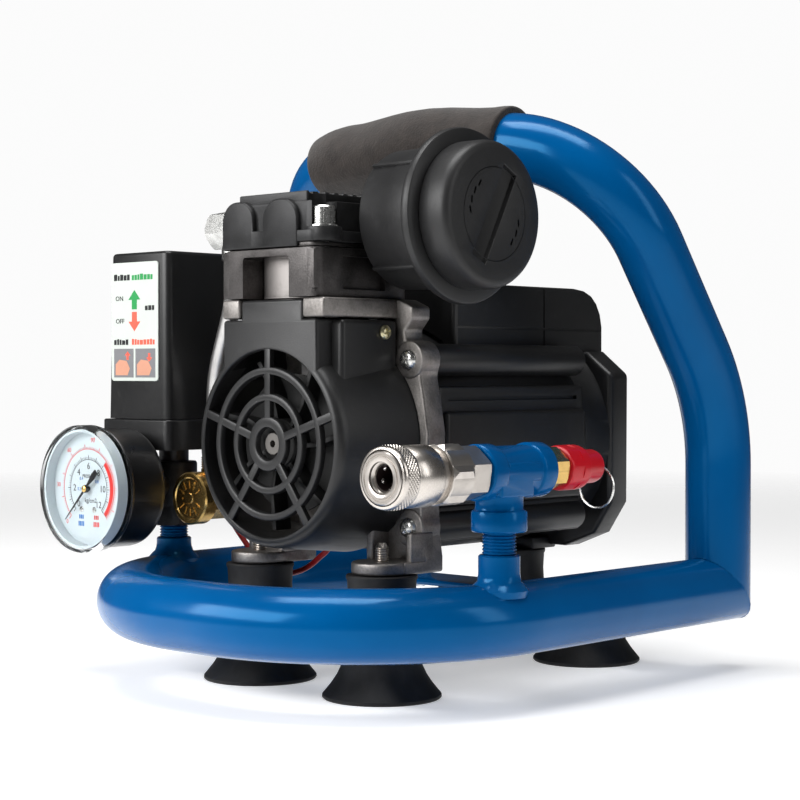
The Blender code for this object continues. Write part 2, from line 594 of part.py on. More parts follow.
def build_gauge():
    """Pressure gauge facing the front of the machine."""
    at = (LEFT[0], 0, 85.0)
    case = lathe([(0, 37.5), (25.2, 37.5), (25.2, 18.3), (27, 18.3), (27, 45), (25.5, 46.5), (6.2, 46.5),
                  (6.2, LEFT[1] - 14 - GAP), (0, LEFT[1] - 14 - GAP)], "Y", sides=24)
    make("gauge_case", "black_plastic", case, at=at,
         joins=[rod(8.6, 46, 53.5, "Y", sides=6)], cuts=[rod(2.0, 36, 70, "Y", sides=8)])
    make("gauge_dial", "white_print", ring(1.1, 24.9, 24.0, 24.8, "Y", sides=24), at=at)
    a = math.radians(225)
    tip, tail = Vector((math.cos(a), math.sin(a))), Vector((-math.sin(a), math.cos(a)))
    outline = [tuple(tip * r + tail * w) for r, w in
               ((19.5, 0.25), (19.5, -0.25), (3, -0.9), (-6, -1.4), (-6, 1.4), (3, 0.9))]
    make("gauge_needle", "black_plastic", prism(outline, 21.6, 22.3, "Y"), at=at,
         joins=[rod(2.4, 21.2, 22.9, "Y", sides=12), rod(0.8, 22, 33, "Y", sides=8)])
    make("gauge_lens", "clear_plastic",
         lathe([(0, 16), (28.2, 16), (LENS_R, 16.8), (LENS_R, 24.5), (27.3, 24.5), (27.3, 17.8), (0, 17.8)],
               "Y", sides=28), at=at)


def build_switch():
    """Pressure switch: pulling its cover up starts the motor, pushing it down stops it."""
    x, y = LEFT
    make("switch_base", "black_plastic", prism(rounded((x - 27.5, x + 21.5), (51.2, 95.0), 3), 102, 116),
         joins=[block((x - 16, x + 16), (57, 89), (115, 165))],
         cuts=[rod(3, 100, 108, centre=(x, y, 0), sides=8), rod(3, 90, 99, "Y", (x, 0, 109), 10),
               rod(3, 60, 92, "Y", (x, 0, 109), 10)])
    make("switch_cover", "black_plastic", prism(rounded((x - 23.8, x + 20.4), (52, 94), 3), 116.3, 194),
         cuts=[block((x - 21.7, x + 18.3), (54, 92), (110, 191.8))])
    make("switch_label", "white_print", block((x - 19.5, x + 14.6), (51.3, 51.7), (134, 189.4)))
    make("cord_gland", "black_plastic",
         lathe([(3, 95.3), (9.5, 95.3), (9.5, 99), (7.5, 100), (6, 110), (3, 110)], "Y", sides=12),
         at=(x, 0, 109))
    lead = [(-84.0, 86, 101.6), (-83.8, 86.8, 92), (-82.0, 88, 80), (-77.5, 89, 69), (-70, 90, 59.5),
            (-61, 90.5, 51.5), (-51, 90.5, 46.8), (-42, 90.5, 45.4), (-33.5, 90.6, 46.8),
            (-26, 91, 50), (-20, 91.4, 54.2), (-15.5, 91.7, 57.6), (-13, 92, 60.6)]
    make("motor_lead", "red_wire", sweep(lead, 1.3, 6))


def build_outlet():
    """Blue tee with the quick coupler in front and the safety valve behind."""
    x, y = RIGHT
    run = (x, 0, TEE_Z)
    ports = lathe([(0, 59.7), (10.9, 59.7), (10.9, 67), (9.8, 68), (9.8, 91.5), (10.9, 92.5),
                   (10.9, 99.8), (0, 99.8)], "Y", run, 14)
    make("tee", "blue_paint", ports,
         joins=[lathe([(0, 73.7), (11.0, 73.7), (11.0, 81.5), (9.8, 82.5), (9.8, TEE_Z), (0, TEE_Z)],
                      centre=(x, y, 0), sides=14)],
         cuts=[rod(7.2, 50, 69, "Y", run, 14), rod(7.2, 90.3, 110, "Y", run, 14),
               rod(4.5, 60, 95, "Y", run, 12), rod(7.2, 70, 82.5, centre=(x, y, 0), sides=12),
               rod(4.5, 80, TEE_Z, centre=(x, y, 0), sides=10)])
    body = lathe([(6.4, 5.7), (10.4, 5.7), (10.4, 34), (12.0, 34.6), (12.0, 46), (8.3, 47), (8.3, 52),
                  (6.8, 53), (6.8, 68.6), (3, 68.6), (3, 30), (6.4, 30)], "Y", sides=18)
    make("coupler_body", "bright_nickel", body, at=run,
         joins=[ring(8.0, 13.2, 35, 45.5, "Y", sides=6)])
    make("coupler_sleeve", "bright_nickel",
         lathe([(10.8, 6.4), (12.0, 6.4), (12.6, 7.2), (12.6, 18), (12.2, 18.4), (12.2, 29.6),
                (11.8, 30), (10.8, 30)], "Y", sides=20), at=run)
    make("safety_body", "brass",
         lathe([(3, 90.7), (6.8, 90.7), (6.8, 100.2), (8.0, 100.4), (8.0, 111), (5.8, 111.2), (5.8, 124),
                (2.5, 124), (2.5, 108), (3, 108)], "Y", sides=14), at=run,
         joins=[ring(5, 9.2, 101, 110.6, "Y", sides=6)])
    make("safety_cap", "red_paint",
         lathe([(6.2, 111.5), (8.8, 111.5), (9.5, 112.2), (9.5, 124.6), (9.0, 125.2), (7.2, 125.6),
                (7.2, 136.2), (6.6, 136.8), (2.6, 136.8), (2.6, 124.4), (6.2, 124.4)], "Y", sides=18),
         at=run)
    make("safety_stem", "brass",
         lathe([(0, 95), (2.2, 95), (2.2, 142), (1.6, 142.6), (0, 142.6)], "Y", sides=10), at=run,
         cuts=[rod(1.35, -5, 5, "X", (0, 139.6, 0), 10)])
    make("safety_ring", "zinc_steel",
         lathe([(9.0 + 0.7 * math.cos(a), 0.7 * math.sin(a)) for a in
                [2 * math.pi * i / 6 for i in range(6)]], "Y", (0, 0, -9.0), 24),
         at=(x, 139.6, TEE_Z))


# ---------------------------------------------------------------- assembly

for old in list(bpy.data.objects):
    bpy.data.objects.remove(old)

ROOT = bpy.data.objects.new("origin_at_base_centre", None)
bpy.context.scene.collection.objects.link(ROOT)
ROOT.location = Vector(((LENS_R - TUBE_R) / 2, -REAR_Y / 2, 0)) * MM

build_frame()
build_feet()
build_crankcase()
build_fan_cover()
build_cylinder()
build_crank()
build_motor()
build_filter()
build_delivery()
build_gauge()
build_switch()
build_outlet()
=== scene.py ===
"""Looks of a portable oil-free air compressor in a tubular tank frame with a carry handle.

Every piece is worked in millimetres round the middle of the front tube, as a maker would draw it,
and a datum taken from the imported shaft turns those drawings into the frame's metres.
X runs to the right of the grille, -Y is the grille side and Z is up from the floor.
"""

import json
import logging
import math
import random
from dataclasses import dataclass
from enum import Enum
from typing import Any, Callable, Iterable, Optional, Sequence, Union

import bmesh
import bpy
from mathutils import Matrix, Vector

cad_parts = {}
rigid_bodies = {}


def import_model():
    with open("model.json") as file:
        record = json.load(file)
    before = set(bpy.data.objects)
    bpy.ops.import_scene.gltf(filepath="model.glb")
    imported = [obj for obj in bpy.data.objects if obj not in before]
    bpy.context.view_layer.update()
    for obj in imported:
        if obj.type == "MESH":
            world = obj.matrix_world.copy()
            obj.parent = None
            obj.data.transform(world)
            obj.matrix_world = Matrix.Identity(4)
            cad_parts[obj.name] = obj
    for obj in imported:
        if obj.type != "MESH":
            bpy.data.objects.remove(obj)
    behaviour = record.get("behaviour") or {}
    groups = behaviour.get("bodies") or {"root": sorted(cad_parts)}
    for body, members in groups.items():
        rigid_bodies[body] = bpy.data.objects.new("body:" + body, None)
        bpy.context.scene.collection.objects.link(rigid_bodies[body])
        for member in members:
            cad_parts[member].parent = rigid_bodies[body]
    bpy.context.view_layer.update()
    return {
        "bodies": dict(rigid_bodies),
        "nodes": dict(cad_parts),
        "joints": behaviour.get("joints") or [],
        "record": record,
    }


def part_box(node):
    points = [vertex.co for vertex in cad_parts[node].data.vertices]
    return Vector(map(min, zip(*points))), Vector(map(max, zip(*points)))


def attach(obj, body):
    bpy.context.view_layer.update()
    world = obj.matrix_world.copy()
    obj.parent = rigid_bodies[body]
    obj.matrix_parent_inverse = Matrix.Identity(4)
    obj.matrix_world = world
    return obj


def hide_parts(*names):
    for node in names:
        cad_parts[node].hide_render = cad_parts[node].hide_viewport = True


LOG = logging.getLogger("compressor")
Point = Sequence[float]
Colour = tuple[float, float, float]
MM = 0.001


# ---------------------------------------------------------------- shader sheets

class Wire:
    """A shader value that can be used in ordinary sums."""

    def __init__(self, sheet: "Sheet", socket: bpy.types.NodeSocket) -> None:
        """Hold one output socket of a sheet."""
        self.sheet = sheet
        self.socket = socket

    def sum_of(self, operation: str, first: Any, second: Any = 0.0, clamp: bool = False) -> "Wire":
        """Add one Math node.

        Args:
            operation: Name of the sum.
            first: Left value or wire.
            second: Right value or wire.
            clamp: Keep the result between 0 and 1.

        Returns:
            The result as a wire.
        """
        return self.sheet.add("ShaderNodeMath", {"operation": operation, "use_clamp": clamp},
                              {0: first, 1: second})

    def __add__(self, other: Any) -> "Wire":
        """Sum."""
        return self.sum_of("ADD", self, other)

    def __radd__(self, other: Any) -> "Wire":
        """Sum with a plain number first."""
        return self.sum_of("ADD", other, self)

    def __sub__(self, other: Any) -> "Wire":
        """Difference."""
        return self.sum_of("SUBTRACT", self, other)

    def __rsub__(self, other: Any) -> "Wire":
        """Difference with a plain number first."""
        return self.sum_of("SUBTRACT", other, self)

    def __mul__(self, other: Any) -> "Wire":
        """Product."""
        return self.sum_of("MULTIPLY", self, other)

    def __rmul__(self, other: Any) -> "Wire":
        """Product with a plain number first."""
        return self.sum_of("MULTIPLY", other, self)

    def held(self) -> "Wire":
        """The same value kept between 0 and 1."""
        return self.sum_of("ADD", self, 0.0, clamp=True)

    def above(self, level: float, softness: float) -> "Wire":
        """A mask that rises from 0 to 1 round a level.

        Args:
            level: Value at the middle of the rise.
            softness: Width of the rise.

        Returns:
            The mask as a wire.
        """
        return ((self - (level - softness / 2)) * (1.0 / softness)).held()


class Sheet:
    """One material being drawn as nodes."""

    def __init__(self, name: str) -> None:
        """Start a material with its usual shader."""
        self.material = bpy.data.materials.new(name)
        self.material.use_nodes = True
        self.tree = self.material.node_tree
        self.shader = self.tree.nodes["Principled BSDF"]

    def add(self, kind: str, settings: Optional[dict[str, Any]] = None,
            inputs: Optional[dict[Any, Any]] = None, output: Any = 0) -> Wire:
        """Add any node.

        Args:
            kind: Node type.
            settings: Properties of the node; "stops" lists a ramp's (position, colour) pairs.
            inputs: Values or wires by socket name or number.
            output: Which output to hand back.

        Returns:
            The chosen output as a wire.
        """
        node = self.tree.nodes.new(kind)
        for key, value in (settings or {}).items():
            if key == "stops":
                stops = node.color_ramp.elements
                while len(stops) < len(value):
                    stops.new(0.5)
                for stop, (place, colour) in zip(stops, value):
                    stop.position = place
                    stop.color = (*colour, 1.0)
            else:
                setattr(node, key, value)
        for key, value in (inputs or {}).items():
            self.feed(node.inputs[key], value)
        return Wire(self, node.outputs[output])

    def feed(self, socket: bpy.types.NodeSocket, value: Any) -> None:
        """Join a wire to a socket, or set the socket to a plain value."""
        if isinstance(value, Wire):
            self.tree.links.new(value.socket, socket)
        elif isinstance(value, tuple) and len(value) == 3 and socket.type == "RGBA":
            socket.default_value = (*value, 1.0)
        else:
            socket.default_value = value

    def place(self, scale: Point = (1.0, 1.0, 1.0), turn: Point = (0.0, 0.0, 0.0)) -> Wire:
        """Position on the object, stretched or turned.

        Args:
            scale: Stretch along each axis.
            turn: Turn about each axis in radians.

        Returns:
            A vector wire.
        """
        where = self.add("ShaderNodeTexCoord", output="Object")
        return self.add("ShaderNodeMapping", {"vector_type": "POINT"},
                        {"Vector": where, "Scale": tuple(scale), "Rotation": tuple(turn)})

    def noise(self, size_mm: float, detail: float = 4.0, rough: float = 0.55,
              place: Optional[Wire] = None) -> Wire:
        """Soft random mottling.

        Args:
            size_mm: Size of one patch.
            detail: Number of finer layers.
            rough: Strength of the finer layers.
            place: Position wire, or none for the plain position.

        Returns:
            A value wire round 0.5.
        """
        return self.add("ShaderNodeTexNoise", {"noise_dimensions": "3D"},
                        {"Vector": place or self.place(), "Scale": 1000.0 / size_mm,
                         "Detail": detail, "Roughness": rough})

    def cells(self, size_mm: float, place: Optional[Wire] = None, feature: str = "F1") -> Wire:
        """Distance pattern of random cells, for grain and foam."""
        return self.add("ShaderNodeTexVoronoi", {"voronoi_dimensions": "3D", "feature": feature},
                        {"Vector": place or self.place(), "Scale": 1000.0 / size_mm})

    def blend(self, mask: Any, first: Any, second: Any) -> Wire:
        """Mix two colours by a mask."""
        node = self.tree.nodes.new("ShaderNodeMix")
        node.data_type = "RGBA"
        for socket, value in ((node.inputs[0], mask), (node.inputs[6], first), (node.inputs[7], second)):
            self.feed(socket, value)
        return Wire(self, node.outputs[2])

    def relief(self, height: Wire, depth_mm: float, strength: float = 1.0,
               below: Optional[Wire] = None) -> Wire:
        """Bump the surface.

        Args:
            height: Height pattern between 0 and 1.
            depth_mm: Height of a full step.
            strength: Share of the bump that shows.
            below: A coarser bump underneath.

        Returns:
            A normal wire.
        """
        inputs: dict[str, Any] = {"Height": height, "Distance": depth_mm * MM, "Strength": strength}
        if below:
            inputs["Normal"] = below
        return self.add("ShaderNodeBump", None, inputs)

    def done(self, **sockets: Any) -> bpy.types.Material:
        """Feed the shader and hand the material back.

        Args:
            **sockets: Shader sockets, with underscores for spaces.

        Returns:
            The finished material.
        """
        for key, value in sockets.items():
            self.feed(self.shader.inputs[key.replace("_", " ")], value)
        return self.material


# ---------------------------------------------------------------- finishes

@dataclass(frozen=True)
class GlossPaint:
    """Thick gloss enamel over metal, with flow marks, thin spots and dust nibs."""

    name: str
    colour: Colour
    deep: Colour
    sheen: Colour
    roughness: float = 0.16

    def make(self) -> bpy.types.Material:
        """Draw the finish."""
        s = Sheet(self.name)
        flow = s.noise(9.0, 2.0, 0.4)
        patch = s.noise(60.0, 3.0)
        nibs = s.cells(7.0).above(0.035, 0.03)
        colour = s.blend(patch.above(0.5, 0.5) * 0.8, self.colour, self.deep)
        wipe = s.noise(24.0, 5.0, 0.6)
        normal = s.relief(flow, 0.09, 0.55)
        normal = s.relief(nibs, 0.03, 0.5, normal)
        return s.done(Base_Color=colour, Roughness=wipe * 0.14 + (self.roughness - 0.05), Normal=normal,
                      Specular_IOR_Level=0.62, Specular_Tint=(*self.sheen, 1.0))


@dataclass(frozen=True)
class MouldedPlastic:
    """Injection-moulded plastic with a fine spark grain, faint handling marks and dust."""

    name: str
    colour: Colour = (0.012, 0.012, 0.0125)
    roughness: float = 0.42
    grain_mm: float = 0.5
    depth_mm: float = 0.035
    dust: float = 0.35

    def make(self) -> bpy.types.Material:
        """Draw the finish."""
        s = Sheet(self.name)
        grain = s.noise(self.grain_mm, 2.0, 0.6)
        pits = s.cells(self.grain_mm * 1.7)
        marks = s.noise(16.0, 6.0, 0.65)
        scratch = s.noise(3.2, 3.0, 0.6, s.place((1.0, 0.06, 1.0), (0.3, 0.1, 0.6)))
        dust = (s.noise(5.0, 8.0, 0.75).above(0.62, 0.16) * marks).held()
        lighter = tuple(c + 0.035 for c in self.colour)
        colour = s.blend(dust * self.dust, self.colour, lighter)
        normal = s.relief(grain * 0.6 + pits * 0.4, self.depth_mm, 0.8)
        normal = s.relief(scratch.above(0.6, 0.05), 0.006, 0.25, normal)
        rough = marks * 0.16 + (self.roughness - 0.08) + scratch.above(0.62, 0.05) * 0.05
        return s.done(Base_Color=colour, Roughness=rough, Normal=normal, Specular_IOR_Level=0.45)


@dataclass(frozen=True)
class FoamSleeve:
    """Closed-cell foam with fine open pores and a soft nap."""

    name: str
    colour: Colour = (0.020, 0.016, 0.014)

    def make(self) -> bpy.types.Material:
        """Draw the finish."""
        s = Sheet(self.name)
        pores = s.cells(0.9)
        coarse = s.cells(2.2)
        mottle = s.noise(7.0, 5.0, 0.7)
        colour = s.blend(mottle.above(0.52, 0.3) * 0.7, self.colour, tuple(c * 2.1 for c in self.colour))
        normal = s.relief(pores, 0.16, 0.9, s.relief(coarse, 0.12, 0.5, s.relief(mottle, 0.35, 0.4)))
        return s.done(Base_Color=colour, Roughness=mottle * 0.1 + 0.86, Normal=normal,
                      Specular_IOR_Level=0.25, Sheen_Weight=0.25, Sheen_Roughness=0.5)


@dataclass(frozen=True)
class CastMetal:
    """Sand-blasted die casting with a dull skin, pits and brighter rubbed spots."""

    name: str
    colour: Colour
    roughness: float = 0.5
    metallic: float = 1.0
    grain_mm: float = 0.7
    depth_mm: float = 0.07

    def make(self) -> bpy.types.Material:
        """Draw the finish."""
        s = Sheet(self.name)
        grain = s.noise(self.grain_mm, 3.0, 0.65)
        pits = s.cells(self.grain_mm * 3.0).above(0.12, 0.12)
        stain = s.noise(12.0, 6.0, 0.65)
        dark = tuple(c * 0.42 for c in self.colour)
        colour = s.blend((stain.above(0.45, 0.3) * 0.75 + grain.above(0.5, 0.2) * 0.25).held(),
                         dark, self.colour)
        normal = s.relief(grain, self.depth_mm, 0.9, s.relief(pits, 0.05, 0.6, s.relief(stain, 0.3, 0.3)))
        return s.done(Base_Color=colour, Roughness=(stain * 0.2 + grain * 0.14 + (self.roughness - 0.16)),
                      Metallic=self.metallic, Normal=normal)


@dataclass(frozen=True)
class MachinedMetal:
    """Turned or plated metal: fine tool lines across the lay and faint tarnish."""

    name: str
    colour: Colour
    roughness: float = 0.26
    lay: Point = (1.0, 24.0, 1.0)
    line_mm: float = 2.4
    depth_mm: float = 0.01
    tarnish: float = 0.35
    smudge_mm: float = 8.0

    def make(self) -> bpy.types.Material:
        """Draw the finish."""
        s = Sheet(self.name)
        lines = s.noise(self.line_mm, 3.0, 0.6, s.place(self.lay))
        smudge = s.noise(self.smudge_mm, 5.0, 0.6)
        dark = tuple(c * 0.5 for c in self.colour)
        colour = s.blend(smudge.above(0.6, 0.3) * self.tarnish, self.colour, dark)
        rough = lines * 0.1 + smudge * 0.14 + (self.roughness - 0.11)
        return s.done(Base_Color=colour, Roughness=rough, Metallic=1.0,
                      Normal=s.relief(lines, self.depth_mm, 0.6))


@dataclass(frozen=True)
class DullRubber:
    """Moulded rubber with bloom on the flanks and a worn, dusty rim."""

    name: str
    colour: Colour = (0.010, 0.010, 0.0105)

    def make(self) -> bpy.types.Material:
        """Draw the finish."""
        s = Sheet(self.name)
        bloom = s.noise(9.0, 6.0, 0.7)
        grain = s.noise(0.8, 3.0, 0.6)
        streak = s.noise(6.0, 3.0, 0.6, s.place((1.0, 1.0, 0.15)))
        colour = s.blend((bloom.above(0.55, 0.3) * 0.5 + streak.above(0.6, 0.2) * 0.3).held(),
                         self.colour, (0.020, 0.020, 0.021))
        return s.done(Base_Color=colour, Roughness=bloom * 0.2 + 0.5, Specular_IOR_Level=0.4,
                      Normal=s.relief(grain, 0.05, 0.8, s.relief(bloom, 0.12, 0.3)))


@dataclass(frozen=True)
class FlatPrint:
    """Ink or label stock: even colour with a slight paper tooth and fade."""

    name: str
    colour: Colour
    roughness: float = 0.38

    def make(self) -> bpy.types.Material:
        """Draw the finish."""
        s = Sheet(self.name)
        tooth = s.noise(0.35, 2.0, 0.5)
        fade = s.noise(14.0, 4.0, 0.6)
        colour = s.blend(fade.above(0.6, 0.4) * 0.3, self.colour, tuple(c * 0.82 for c in self.colour))
        return s.done(Base_Color=colour, Roughness=fade * 0.14 + (self.roughness - 0.07),
                      Normal=s.relief(tooth, 0.008, 0.5))


@dataclass(frozen=True)
class ClearCover:
    """Clear moulded lens with faint wipe marks."""

    name: str

    def make(self) -> bpy.types.Material:
        """Draw the finish."""
        s = Sheet(self.name)
        wipe = s.noise(8.0, 4.0, 0.6, s.place((1.0, 1.0, 0.3)))
        scratch = s.noise(1.8, 3.0, 0.6, s.place((0.1, 1.0, 1.0), (0.0, 0.6, 0.0)))
        return s.done(Base_Color=(0.97, 0.985, 0.99), Roughness=wipe.above(0.6, 0.3) * 0.03 + 0.012,
                      Transmission_Weight=1.0, IOR=1.12, Normal=s.relief(scratch.above(0.66, 0.04), 0.003, 0.15))


@dataclass(frozen=True)
class FibreFelt:
    """Pressed filter felt."""

    name: str
    colour: Colour = (0.3, 0.3, 0.29)

    def make(self) -> bpy.types.Material:
        """Draw the finish."""
        s = Sheet(self.name)
        fibre = s.noise(1.2, 6.0, 0.8, s.place((0.3, 1.0, 1.0)))
        colour = s.blend(fibre.above(0.5, 0.2), tuple(c * 0.6 for c in self.colour), self.colour)
        return s.done(Base_Color=colour, Roughness=0.95, Normal=s.relief(fibre, 0.3, 0.9))


class Finish(Enum):
    """Every finish on the machine."""

    BLUE = GlossPaint("blue_enamel", (0.0, 0.088, 0.275), (0.0, 0.064, 0.215), (0.09, 0.38, 0.66))
    RED = GlossPaint("red_anodising", (0.56, 0.006, 0.016), (0.40, 0.003, 0.010), (1.0, 0.55, 0.55), 0.28)
    SHROUD = MouldedPlastic("shroud_plastic", (0.0125, 0.0125, 0.013), 0.40, 0.55, 0.045)
    MOTOR = MouldedPlastic("motor_plastic", (0.0095, 0.0095, 0.010), 0.40, 0.45, 0.04)
    SWITCH = MouldedPlastic("switch_plastic", (0.010, 0.010, 0.0105), 0.34, 0.35, 0.02, 0.2)
    FILTER = MouldedPlastic("filter_plastic", (0.013, 0.013, 0.0135), 0.46, 0.6, 0.05, 0.25)
    CASE = MouldedPlastic("gauge_case_plastic", (0.008, 0.008, 0.0085), 0.30, 0.3, 0.015, 0.2)
    # Fan colour is partly its own black plastic and partly painted shade: it is darker than the other plastics to stand
    # in for the shade inside the shroud.
    FAN = MouldedPlastic("fan_plastic_painted_shade", (0.0035, 0.0035, 0.0035), 0.62, 0.5, 0.03, 0.05)
    FOAM = FoamSleeve("handle_foam")
    CASTING = CastMetal("grey_casting", (0.33, 0.31, 0.295), 0.46, 1.0, 0.95, 0.16)
    BRACKET = CastMetal("bracket_casting", (0.115, 0.108, 0.106), 0.44, 1.0, 0.9, 0.13)
    HEAD = CastMetal("head_casting", (0.030, 0.030, 0.031), 0.44, 0.5, 0.6, 0.05)
    MANIFOLD = CastMetal("manifold_metal", (0.07, 0.07, 0.074), 0.40, 0.8, 0.6, 0.04)
    HONED = MachinedMetal("cylinder_aluminium", (0.30, 0.28, 0.27), 0.50, (14.0, 14.0, 0.6), 5.0, 0.04, 0.6)
    SATIN = MachinedMetal("satin_aluminium", (0.56, 0.55, 0.54), 0.36, (8.0, 8.0, 1.0), 2.0, 0.02)
    NICKEL = MachinedMetal("nickel_plate", (0.62, 0.575, 0.53), 0.27, (1.0, 16.0, 1.0), 2.2, 0.012, 0.25)
    DULL_NICKEL = MachinedMetal("dull_nickel", (0.56, 0.52, 0.48), 0.31, (1.0, 16.0, 1.0), 2.0, 0.015)
    ZINC = MachinedMetal("zinc_plate", (0.74, 0.74, 0.72), 0.26, (1.0, 1.0, 1.0), 1.2, 0.012, 0.45, 4.0)
    YELLOW_ZINC = MachinedMetal("yellow_zinc", (0.72, 0.66, 0.42), 0.30, (1.0, 1.0, 1.0), 1.2, 0.01, 0.3, 3.0)
    STEEL = MachinedMetal("bare_steel", (0.20, 0.19, 0.18), 0.46, (1.0, 12.0, 1.0), 2.0, 0.02)
    BALL = MachinedMetal("polished_balls", (0.70, 0.69, 0.68), 0.10, (1.0, 1.0, 1.0), 2.0, 0.002, 0.1)
    # Near-black finish for the shell inside the coupler mouth: painted shade for the darkness deep in the bore, not a
    # real lining.
    BORE = MouldedPlastic("painted_bore_shade", (0.012, 0.006, 0.006), 0.45, 0.4, 0.01, 0.0)
    BRASS = MachinedMetal("machined_brass", (0.76, 0.50, 0.17), 0.24, (1.0, 14.0, 1.0), 2.2, 0.012, 0.4, 5.0)
    RUBBER = DullRubber("black_rubber", (0.0045, 0.0045, 0.005))
    DIAL = FlatPrint("dial_white", (0.62, 0.69, 0.72))
    LABEL = FlatPrint("label_white", (0.60, 0.64, 0.60), 0.30)
    INK_BLACK = FlatPrint("ink_black", (0.012, 0.012, 0.014))
    INK_RED = FlatPrint("ink_red", (0.72, 0.028, 0.02))
    INK_CORAL = FlatPrint("ink_coral", (0.86, 0.12, 0.075))
    INK_GREEN = FlatPrint("ink_green", (0.02, 0.30, 0.075))
    INK_BLUE = FlatPrint("ink_blue", (0.01, 0.16, 0.52))
    INK_SKIN = FlatPrint("ink_tan", (0.62, 0.30, 0.20))
    INK_GREY = FlatPrint("ink_grey", (0.20, 0.20, 0.21))
    RED_WIRE = MouldedPlastic("red_insulation", (0.42, 0.010, 0.012), 0.36, 0.4, 0.01, 0.1)
    NEEDLE = FlatPrint("needle_black", (0.006, 0.006, 0.007), 0.3)
    PTFE = MouldedPlastic("white_ptfe", (0.72, 0.72, 0.69), 0.45, 0.6, 0.02, 0.0)
    LENS = ClearCover("clear_lens")
    FELT = FibreFelt("filter_felt")

    def material(self) -> bpy.types.Material:
        """The finish as a material, drawn on first use."""
        found = bpy.data.materials.get(self.value.name)
        return found or self.value.make()


# ---------------------------------------------------------------- shapes on the bench

Outline = Sequence[tuple[float, float]]


def ring_points(radius: float, count: int, turn: float = 0.0, centre: Point = (0.0, 0.0)) -> list[tuple[float, float]]:
    """Places evenly round a circle.

    Args:
        radius: Radius of the circle.
        count: Number of places.
        turn: Angle of the first one, in radians.
        centre: Middle of the circle.

    Returns:
        The places in order.
    """
    return [(centre[0] + radius * math.cos(turn + 2 * math.pi * i / count),
             centre[1] + radius * math.sin(turn + 2 * math.pi * i / count)) for i in range(count)]


def both_sides(half: Outline) -> list[tuple[float, float]]:
    """Complete a right-hand half outline with its left-hand image."""
    return list(half) + [(-x, z) for x, z in reversed(half) if abs(x) > 1e-6]


